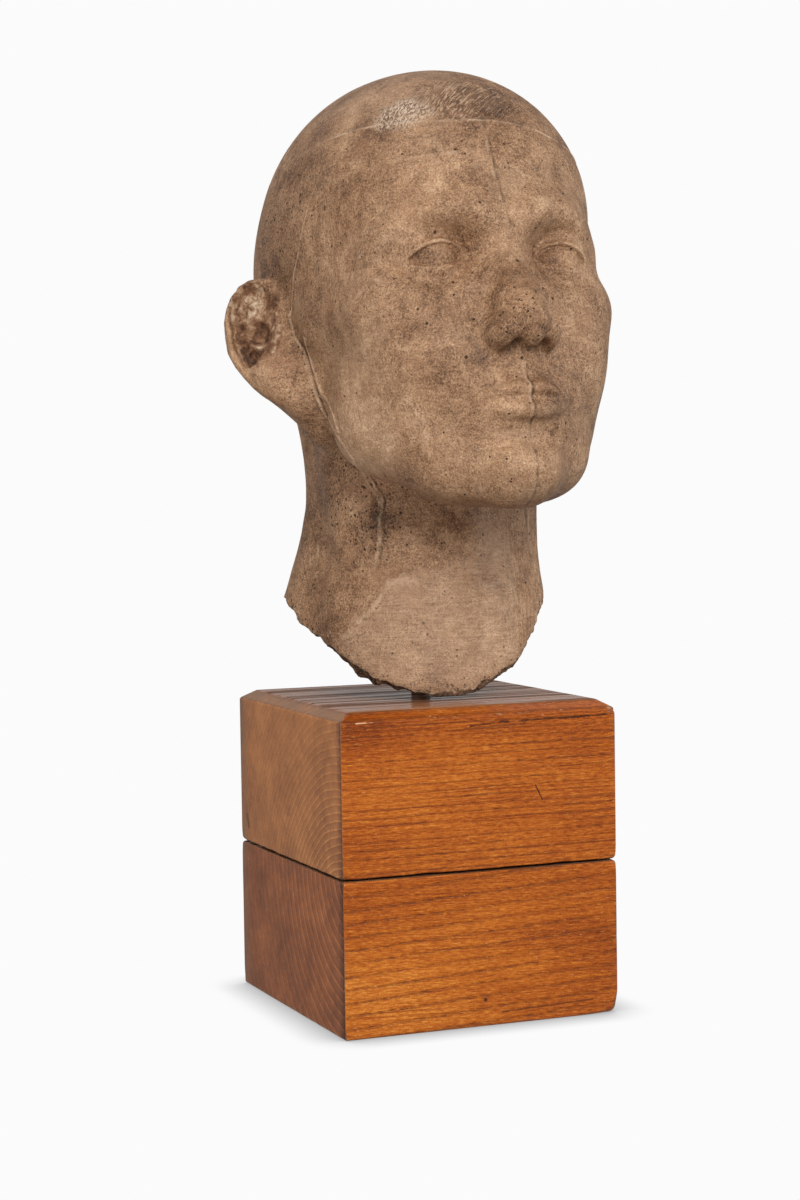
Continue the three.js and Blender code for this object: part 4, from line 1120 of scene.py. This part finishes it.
    # the ear: broken plaster with red-brown stain and cream edges, its hollows darkened with painted shade
    ear, ear_tone = L.attr("ear"), L.attr("ear_tone")
    stuff = L.noise(mm, 3.6, 4, 0.70, 0.5)
    etone = L.add(0.5, L.mul(L.add(stuff, -0.5), 1.7), L.mul(ear_tone, 0.30), L.mul(L.attr("hollow_shade"), -0.25), L.mul(L.attr("edge"), 0.15))
    earcol = L.ramp(etone, [(0.02, (0.035, 0.016, 0.009)), (0.22, (0.120, 0.050, 0.024)), (0.42, (0.215, 0.105, 0.053)), (0.60, (0.36, 0.225, 0.135)), (0.80, (0.60, 0.45, 0.31)), (1.0, (0.72, 0.58, 0.43))])
    show = L.math("MAXIMUM", L.range(L.add(ear, L.mul(L.add(rag, -0.5), 0.5)), 0.25, 0.60), L.range(L.math("ABSOLUTE", ear_tone), 0.34, 0.90))
    col = L.mix(L.mul(show, 0.92), col, earcol)

    # the broken edge
    raw = L.attr("raw")
    crush = L.noise(mm, 3.4, 5, 0.75, 0.5)
    shade = L.range(sep.outputs["X"], -34, 2, -0.022, 0.035)
    rawcol = L.ramp(L.add(crush, shade), [(0.38, (0.016, 0.008, 0.005)), (0.46, (0.070, 0.036, 0.019)), (0.54, (0.160, 0.088, 0.048)), (0.64, (0.34, 0.215, 0.130)), (0.71, (0.60, 0.45, 0.31))])
    col = L.mix(L.range(L.add(raw, L.mul(L.add(rag, -0.5), 0.8)), 0.30, 0.60), col, rawcol)
    close = L.mul(L.range(L.attr("to_break"), 9.0, 0.5), L.range(crush, 0.42, 0.58))
    col = L.mix(L.mul(close, 0.62), col, (0.080, 0.040, 0.020))
    L.put(L.bsdf.inputs["Base Color"], col)

    rough = L.add(0.38, L.mul(blotch, 0.16), L.mul(fleck, 0.20), L.mul(raw, 0.30), L.mul(ear, 0.22), L.mul(pits, 0.3), L.mul(gloss_and_painted_highlight, -0.10))
    L.put(L.bsdf.inputs["Roughness"], rough)
    L.bsdf.inputs["Specular IOR Level"].default_value = 0.30
    L.put(L.bsdf.inputs["Coat Weight"], L.mul(gloss_and_painted_highlight, bright, 0.30))
    L.bsdf.inputs["Coat Roughness"].default_value = 0.24

    height = L.add(L.mul(fleck, 0.55), L.mul(grain, 0.40), L.mul(blotch, 0.35), L.mul(stroke, 0.40), L.mul(pits, -1.0), L.mul(darkgrain, -0.28), L.mul(palegrain, 0.22))
    height = L.add(height, L.mul(plane, level, 0.45), L.mul(comb, upright, 1.0), L.mul(brushed, hair, 2.2), L.mul(gloss_and_painted_highlight, scuffed, 3.2))
    height = L.add(height, L.mul(light, 0.35), L.mul(dark, -0.7))
    height = L.add(height, L.mul(raw, crush, 2.4), L.mul(show, stuff, 1.4))
    L.put(L.bsdf.inputs["Normal"], L.bump(height, 0.85, 0.00080))
    return L.mat


def drawn(self, along, squeeze):
    """Coordinates in mm, drawn out in one direction."""
    a = Vector(along).normalized()
    b = a.cross(Vector((0, 0, 1))).normalized()
    out = []
    for v in (a * squeeze, b, a.cross(b)):
        n = self.node("ShaderNodeVectorMath", operation="DOT_PRODUCT")
        self.put(n.inputs[0], self.mm)
        n.inputs[1].default_value = v
        out.append(n.outputs["Value"])
    return self.combine(*out)


Look.drawn = drawn


def node_split(self, color):
    n = self.node("ShaderNodeSeparateColor")
    self.put(n.inputs[0], color)
    return n.outputs[0]


Look.node_split = node_split


BAND_FAINT = {"varnished_wood_upper": 0.12, "varnished_wood_lower": 0.55}      # how much the rings show where they show least
PITH = {"varnished_wood_upper": (-84.0, 38.0), "varnished_wood_lower": (-88.0, 86.0)}       # y and z of the middle of the tree, before the blocks
RING = {"varnished_wood_upper": 3.9, "varnished_wood_lower": 6.2}      # mm a year


def wood(name, lift, seed):
    L = Look(name)
    mm = L.mm
    sep = L.node("ShaderNodeSeparateXYZ")
    warp = L.noise(L.scaled(mm, (0.12, 1, 1), at=(seed, 0, 0)), 60, 1, 0.5)
    fine_warp = L.noise(L.scaled(mm, (0.18, 1, 1), at=(seed, 3, 0)), 13, 2, 0.5)
    L.put(sep.inputs[0], mm)
    x, y, z = sep.outputs
    dy = L.add(y, -PITH[name][0], L.mul(x, 0.02))
    dz = L.add(z, -PITH[name][1], L.mul(x, lift))
    r = L.math("SQRT", L.add(L.mul(dy, dy), L.mul(dz, dz)))
    r = L.add(r, L.mul(warp, 5.0), L.mul(fine_warp, 1.8))
    ring = L.math("FRACT", L.mul(r, 1 / RING[name]))
    early = L.math("MAXIMUM", L.range(ring, 0.0, 0.26, 1.0, 0.0), L.range(ring, 0.90, 1.0, 0.0, 1.0))   # porous part of each ring

    # the same grain, tilted a little against the edges
    tilt = L.scaled(mm, (1, 1, 1), (0, math.degrees(math.atan(lift)), 0))
    long_line = L.noise(L.scaled(tilt, (0.0075, 1, 1), at=(seed, 0, 0)), 1.15, 2, 0.60)
    streak = L.noise(L.scaled(tilt, (0.050, 1, 1), at=(seed, 0, 0)), 0.95, 3, 0.60)
    thread = L.noise(L.scaled(tilt, (0.140, 1, 1), at=(0, seed, 0)), 0.52, 2, 0.6)
    weave = L.noise(L.scaled(mm, (1.6, 1, 0.5), at=(0, 0, seed)), 0.9, 1, 0.5)
    pore = L.noise(L.scaled(tilt, (0.120, 1, 1), at=(0, 0, seed)), 0.60, 1, 0.5)
    cloud = L.noise(L.scaled(mm, (0.35, 1, 1), at=(seed, seed, 0)), 30, 2, 0.5)
    figure = L.noise(L.scaled(mm, (1.0, 1, 1), at=(0, seed, seed)), 7.5, 3, 0.6)

    # along the grain
    tone = L.add(0.5, L.mul(L.add(long_line, -0.5), 0.36), L.mul(L.add(streak, -0.5), 0.50), L.mul(L.add(thread, -0.5), 1.10), L.mul(L.add(weave, -0.5), 0.32), L.mul(L.add(cloud, -0.5), 0.42),
                 L.mul(L.add(figure, -0.5), 0.12), L.mul(early, -0.06), L.warmth(name))
    long = L.ramp(tone, [
        (0.05, (0.125, 0.022, 0.003)), (0.30, (0.270, 0.054, 0.005)), (0.50, (0.390, 0.090, 0.009)),
        (0.70, (0.515, 0.145, 0.016)), (0.95, (0.700, 0.265, 0.045))])
    band = L.mul(L.range(ring, 0.00, 0.07), L.range(ring, 0.34, 0.14))
    band = L.mul(band, L.range(L.noise(L.scaled(mm, (0.08, 1, 1), at=(seed, 5, 0)), 8, 2), 0.36, 0.58, BAND_FAINT[name], 1.0))
    ticks = L.noise(L.scaled(tilt, (0.36, 1, 1), (0, 24, 0), at=(0, 0, seed)), 0.62, 2, 0.6)
    long = L.mix(L.mul(band, L.range(ticks, 0.36, 0.60, 0.16, 0.78)), long, (0.205, 0.052, 0.008))
    dash = L.mul(L.range(pore, 0.55, 0.66), L.add(0.06, band))
    long = L.mix(L.mul(dash, 0.60), long, (0.085, 0.018, 0.004))
    line = L.mul(L.range(long_line, 0.38, 0.31), 0.45)
    long = L.mix(line, long, (0.150, 0.030, 0.005))
    glint = L.mul(L.range(pore, 0.335, 0.28), 0.35)
    long = L.mix(glint, long, (0.68, 0.28, 0.06))
    crumbs = L.range(L.noise(L.scaled(tilt, (0.30, 1, 1), at=(3, 0, seed)), 0.9, 2, 0.6), 0.70, 0.76)
    long = L.mix(L.mul(crumbs, 0.55), long, (0.80, 0.48, 0.26))

    # across the grain
    dots = L.cells(L.scaled(mm, (0.05, 1, 1)), 1.05)
    spots = L.mul(L.range(dots.outputs["Distance"], 0.22, 0.40, 1.0, 0.0), 0.6)
    arc = L.mul(L.range(ring, 0.02, 0.12), L.range(ring, 0.34, 0.16), L.range(r, 150, 60, 0.30, 1.0))
    late = L.mul(L.range(ring, 0.55, 0.98), L.range(r, 150, 60, 0.30, 1.0))
    etone = L.add(0.5, L.mul(L.add(cloud, -0.5), 0.5), L.mul(L.add(figure, -0.5), 0.35), L.mul(arc, L.range(figure, 0.35, 0.60, 0.10, 0.22)), L.mul(late, -0.08), L.mul(L.range(y, -69, -75.5), -0.26), L.mul(spots, -0.05),
                  L.mul(L.add(L.noise(L.scaled(mm, (0.2, 1, 1)), 1.3, 2), -0.5), 0.25),
                  L.range(y, -76, 60, 0.03, -0.05, soft=False), -0.13 if name.endswith("lower") else 0.04)
    end = L.ramp(etone, [
        (0.05, (0.110, 0.038, 0.014)), (0.32, (0.245, 0.090, 0.031)), (0.60, (0.450, 0.175, 0.056)), (0.95, (0.720, 0.340, 0.130))])
    if name.endswith("lower"):
        end = L.mix(0.55, end, L.mix(1.0, end, (0.96, 0.70, 0.62), "MULTIPLY"))
    end = L.mix(L.mul(L.range(y, 60, 75), 0.45), end, (0.190, 0.125, 0.090))
    end = L.mix(L.mul(L.range(y, -74.6, -76.2), L.range(streak, 0.35, 0.60, 0.80, 0.25)), end, (0.070, 0.022, 0.008))
    nsep = L.node("ShaderNodeSeparateXYZ")
    L.put(nsep.inputs[0], L.normal)
    aside = L.math("ABSOLUTE", nsep.outputs[0])
    slope = L.mul(L.range(aside, 0.40, 0.46), L.range(aside, 0.82, 0.70))
    end = L.mix(L.mul(slope, L.range(figure, 0.3, 0.7, 0.75, 0.45)), end, (0.215, 0.140, 0.095))
    across = L.range(aside, 0.40, 0.52)
    col = L.mix(across, long, end)

    # wear at the edges, and painted shade along the gap between the blocks
    inset = L.attr("inset")
    rag = L.noise(L.scaled(mm, (0.3, 1, 1)), 1.6, 3, 0.7)
    worn = L.mul(L.range(L.add(inset, L.mul(L.add(rag, -0.5), 0.6)), 0.14, 0.42), L.range(inset, 1.6, 0.9))
    col = L.mix(L.mul(worn, L.range(rag, 0.44, 0.62), 0.50), col, (0.080, 0.024, 0.008))
    col = L.mix(L.mul(worn, L.range(rag, 0.62, 0.72), 0.60), col, (0.56, 0.30, 0.14))
    # the gap between the blocks is painted near black: painted shade
    painted_gap_shade = L.mul(L.range(L.attr("seam"), 1.15, 0.35), 0.92)
    col = L.mix(painted_gap_shade, col, (0.010, 0.004, 0.002))
    slit = L.range(L.add(L.attr("slit"), L.mul(L.add(rag, -0.5), 1.6)), 0.35, -0.15)
    if name.endswith("upper"):
        col = L.mix(L.mul(slit, 0.85), col, (0.022, 0.007, 0.003))
        col = L.scratch(col, (-74.3, 64.5, 87.5), (-74.3, 66.5, 92.5), 1.8, (0.050, 0.026, 0.016), 0.6)
        col = L.scratch(col, (29.5, -76.6, 118.9), (33.1, -76.6, 111.7), 0.42, (0.05, 0.012, 0.005), 0.85)
        col = L.scratch(col, (-66, -76.7, 155.0), (-57, -76.7, 155.3), 0.45, (0.72, 0.44, 0.26), 0.9)
        col = L.scratch(col, (-18, -76.6, 148.6), (24, -76.6, 150.4), 0.5, (0.110, 0.028, 0.008), 0.55)
    else:
        col = L.scratch(col, (0.9, -77, 13.4), (0.95, -76, 13.4), 1.15, (0.022, 0.008, 0.004), 0.9)
        col = L.scratch(col, (10, -76.6, 6.6), (60, -76.6, 8.2), 0.50, (0.060, 0.016, 0.005), 0.65)
    # the top is painted lighter, with darker stripes along the grain: a painted reflection of the varnish
    on_top = L.range(nsep.outputs[2], 0.88, 0.97)
    level = L.noise(L.scaled(mm, (0.03, 1, 1), at=(0, seed, 0)), 7.5, 3, 0.6)
    stripe = L.range(L.add(L.mul(early, 0.10), level), 0.46, 0.60)
    col = L.mix(L.mul(on_top, 0.58), col, (0.500, 0.245, 0.125))
    col = L.mix(L.mul(on_top, stripe, 0.75), col, (0.070, 0.028, 0.013))
    L.put(L.bsdf.inputs["Base Color"], col)

    # the varnish has sunk into the porous part of each ring
    sunk = L.add(L.mul(early, 0.45), L.mul(L.add(long_line, -0.5), 1.2), L.mul(L.add(streak, -0.5), 0.9), L.mul(on_top, stripe, 0.65))
    L.put(L.bsdf.inputs["Roughness"], L.add(0.36, L.mul(sunk, 0.16), L.mul(painted_gap_shade, 0.3)))
    L.bsdf.inputs["Specular IOR Level"].default_value = 0.12
    L.put(L.bsdf.inputs["Coat Weight"], L.mul(L.range(sunk, 0.00, 0.60, 0.95, 0.0), L.range(across, 0.0, 1.0, 1.0, 0.05), L.range(nsep.outputs[2], 0.2, 0.5, 0.60, 1.0)))
    L.bsdf.inputs["Coat Roughness"].default_value = 0.17
    L.bsdf.inputs["Coat IOR"].default_value = 1.42
    height = L.add(L.mul(streak, 0.55), L.mul(thread, 0.25), L.mul(dash, -0.85), L.mul(early, -0.30), L.mul(worn, rag, -0.6))
    height = L.fmix(across, height, L.add(L.mul(arc, 0.35), L.mul(figure, 0.2), L.mul(spots, -0.3)))
    L.put(L.bsdf.inputs["Normal"], L.bump(height, 0.55, 0.00035))
    L.put(L.bsdf.inputs["Coat Normal"], L.bump(L.add(L.mul(height, 0.45), L.mul(figure, 0.35), L.mul(early, -0.7), L.mul(on_top, level, 5.0)), 0.45, 0.00035))
    return L.mat


def warmth(self, name):
    """The lower block is more golden, most of all at its lower left, where a golden sheen of the varnish is painted in,
    and darker towards its right; the upper one is redder along its top left.
    """
    sep = self.node("ShaderNodeSeparateXYZ")
    self.put(sep.inputs[0], self.mm)
    if name.endswith("upper"):
        v = self.mul(self.range(sep.outputs["X"], -20, -72), self.range(sep.outputs["Z"], 128, 150), -0.22)
        return self.add(v, 0.0)
    right = self.mul(self.range(sep.outputs["X"], 5, 72), -0.10)
    # golden towards the lower left: a painted sheen of the varnish
    return self.add(0.02, right, self.mul(self.range(sep.outputs["X"], 20, -70), self.range(sep.outputs["Z"], 60, 20), 0.22))


Look.warmth = warmth


def combine(self, x, y, z):
    n = self.node("ShaderNodeCombineXYZ")
    for s, v in zip(n.inputs, (x, y, z)):
        self.put(s, v)
    return n.outputs[0]


def scratch(self, col, a, b, half, tint, amount):
    """A short straight mark from a to b on the surface."""
    a, b = Vector(a), Vector(b)
    ab = b - a
    rel = self.node("ShaderNodeVectorMath", operation="SUBTRACT")
    self.put(rel.inputs[0], self.mm)
    rel.inputs[1].default_value = a
    dot = self.node("ShaderNodeVectorMath", operation="DOT_PRODUCT")
    self.put(dot.inputs[0], rel.outputs[0])
    dot.inputs[1].default_value = ab / ab.length_squared
    t = self.math("MULTIPLY", dot.outputs["Value"], 1.0, clamp=True)
    along = self.node("ShaderNodeVectorMath", operation="SCALE")
    along.inputs[0].default_value = ab
    self.put(along.inputs["Scale"], t)
    dist = self.node("ShaderNodeVectorMath", operation="DISTANCE")
    self.put(dist.inputs[0], rel.outputs[0])
    self.put(dist.inputs[1], along.outputs[0])
    wob = self.add(dist.outputs["Value"], self.mul(self.add(self.noise(self.mm, 2.2, 2), -0.5), half * 1.2))
    return self.mix(self.mul(self.range(wob, half * 0.5, half * 1.4, 1.0, 0.0), amount), col, tint)


Look.combine = combine
Look.scratch = scratch


def steel():
    L = Look("dark_steel")
    mm = L.mm
    blot = L.noise(mm, 4.2, 4, 0.65)
    turn = L.noise(L.scaled(mm, (0.15, 0.15, 1)), 0.6, 2, 0.6)
    rust = L.range(L.noise(mm, 3.0, 4, 0.7), 0.56, 0.70)
    col = L.ramp(L.add(L.mul(blot, 0.7), L.mul(turn, 0.3)), [(0.35, (0.016, 0.018, 0.022)), (0.6, (0.045, 0.050, 0.060)), (0.75, (0.085, 0.092, 0.105))])
    col = L.mix(L.mul(rust, 0.5), col, (0.075, 0.032, 0.016))
    L.put(L.bsdf.inputs["Base Color"], col)
    L.put(L.bsdf.inputs["Metallic"], L.range(rust, 0, 1, 0.85, 0.2))
    L.put(L.bsdf.inputs["Roughness"], L.add(0.34, L.mul(turn, 0.16), L.mul(rust, 0.25)))
    L.put(L.bsdf.inputs["Normal"], L.bump(L.add(L.mul(turn, 0.5), L.mul(blot, 0.5)), 0.5, 0.00025))
    return L.mat


def floor_look():
    """Pale and even; only right beside the plinth is a contact shadow painted in, darker where the floor is more closed
    in.
    """
    mat = bpy.data.materials.new("floor")
    mat.use_nodes = True
    t = mat.node_tree
    t.nodes.clear()
    out = t.nodes.new("ShaderNodeOutputMaterial")
    glow = t.nodes.new("ShaderNodeEmission")
    # the contact shadow, painted by how closed in the floor is near the plinth
    near = t.nodes.new("ShaderNodeAmbientOcclusion")
    near.samples = 24
    near.inputs["Distance"].default_value = 0.024
    dark = t.nodes.new("ShaderNodeMapRange")
    t.links.new(near.outputs["AO"], dark.inputs["Value"])
    for k, w in (("From Min", 0.45), ("From Max", 0.97), ("To Min", 0.50), ("To Max", 1.0)):
        dark.inputs[k].default_value = w
    glow.inputs[0].default_value = WHITE
    t.links.new(dark.outputs["Result"], glow.inputs[1])
    t.links.new(glow.outputs[0], out.inputs[0])
    return mat


def backdrop_look():
    mat = bpy.data.materials.new("backdrop")
    mat.use_nodes = True
    t = mat.node_tree
    t.nodes.clear()
    out = t.nodes.new("ShaderNodeOutputMaterial")
    glow = t.nodes.new("ShaderNodeEmission")
    glow.inputs[0].default_value = WHITE
    t.links.new(glow.outputs[0], out.inputs[0])
    return mat


def set_apart(o, look):
    """Seen behind the object, but neither lights it nor shades it."""
    o.data.materials.append(look)
    o.visible_diffuse = o.visible_glossy = o.visible_transmission = o.visible_shadow = False


def make_floor():
    n, rings = 96, [0.0, 0.15, 0.3, 0.6, 1.2, 2.4, 4.0, 6.0, 9.0, 14.0]
    V, F = [(0, 0, 0)], []
    for r in rings[1:]:
        for i in range(n):
            a = 2 * math.pi * i / n
            V.append((r * math.cos(a), r * math.sin(a), 0))
    for i in range(n):
        j = (i + 1) % n
        F.append((0, 1 + i, 1 + j))
        for k in range(len(rings) - 2):
            a, b = 1 + k * n, 1 + (k + 1) * n
            F.append((a + i, b + i, b + j, a + j))
    me = bpy.data.meshes.new("floor")
    me.from_pydata(V, [], F)
    me.update()
    floor = bpy.data.objects.new("floor", me)
    scene.collection.objects.link(floor)
    set_apart(floor, floor_look())
    # the white paper behind it, all the way round
    rows, V, F = 24, [], []
    for k in range(rows + 1):
        e = math.radians(-90 + 180 * k / rows)
        for i in range(n):
            a = 2 * math.pi * i / n
            V.append((14 * math.cos(a) * math.cos(e), 14 * math.sin(a) * math.cos(e), 14 * math.sin(e) - 0.4))
    for k in range(rows):
        for i in range(n):
            j = (i + 1) % n
            F.append((k * n + i, (k + 1) * n + i, (k + 1) * n + j, k * n + j))
    me = bpy.data.meshes.new("backdrop")
    me.from_pydata(V, [], F)
    me.update()
    paper = bpy.data.objects.new("backdrop", me)
    scene.collection.objects.link(paper)
    set_apart(paper, backdrop_look())


# ================================================================ put together
make_camera()
make_light()
make_floor()

body = "root"
head = make_head()
head.data.materials.append(composition())
upper, lower = make_plinth()
upper.data.materials.append(wood("varnished_wood_upper", -0.004, 3.7))
lower.data.materials.append(wood("varnished_wood_lower", -0.036, 9.1))
rod = make_rod()
rod.data.materials.append(steel())

for piece, node, slot in ((head, "head", "cast_composition"), (upper, "plinth_upper_block", "varnished_wood"),
                          (lower, "plinth_lower_block", "varnished_wood"), (rod, "mounting_rod", "dark_steel")):
    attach(piece, body)
    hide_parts(node)
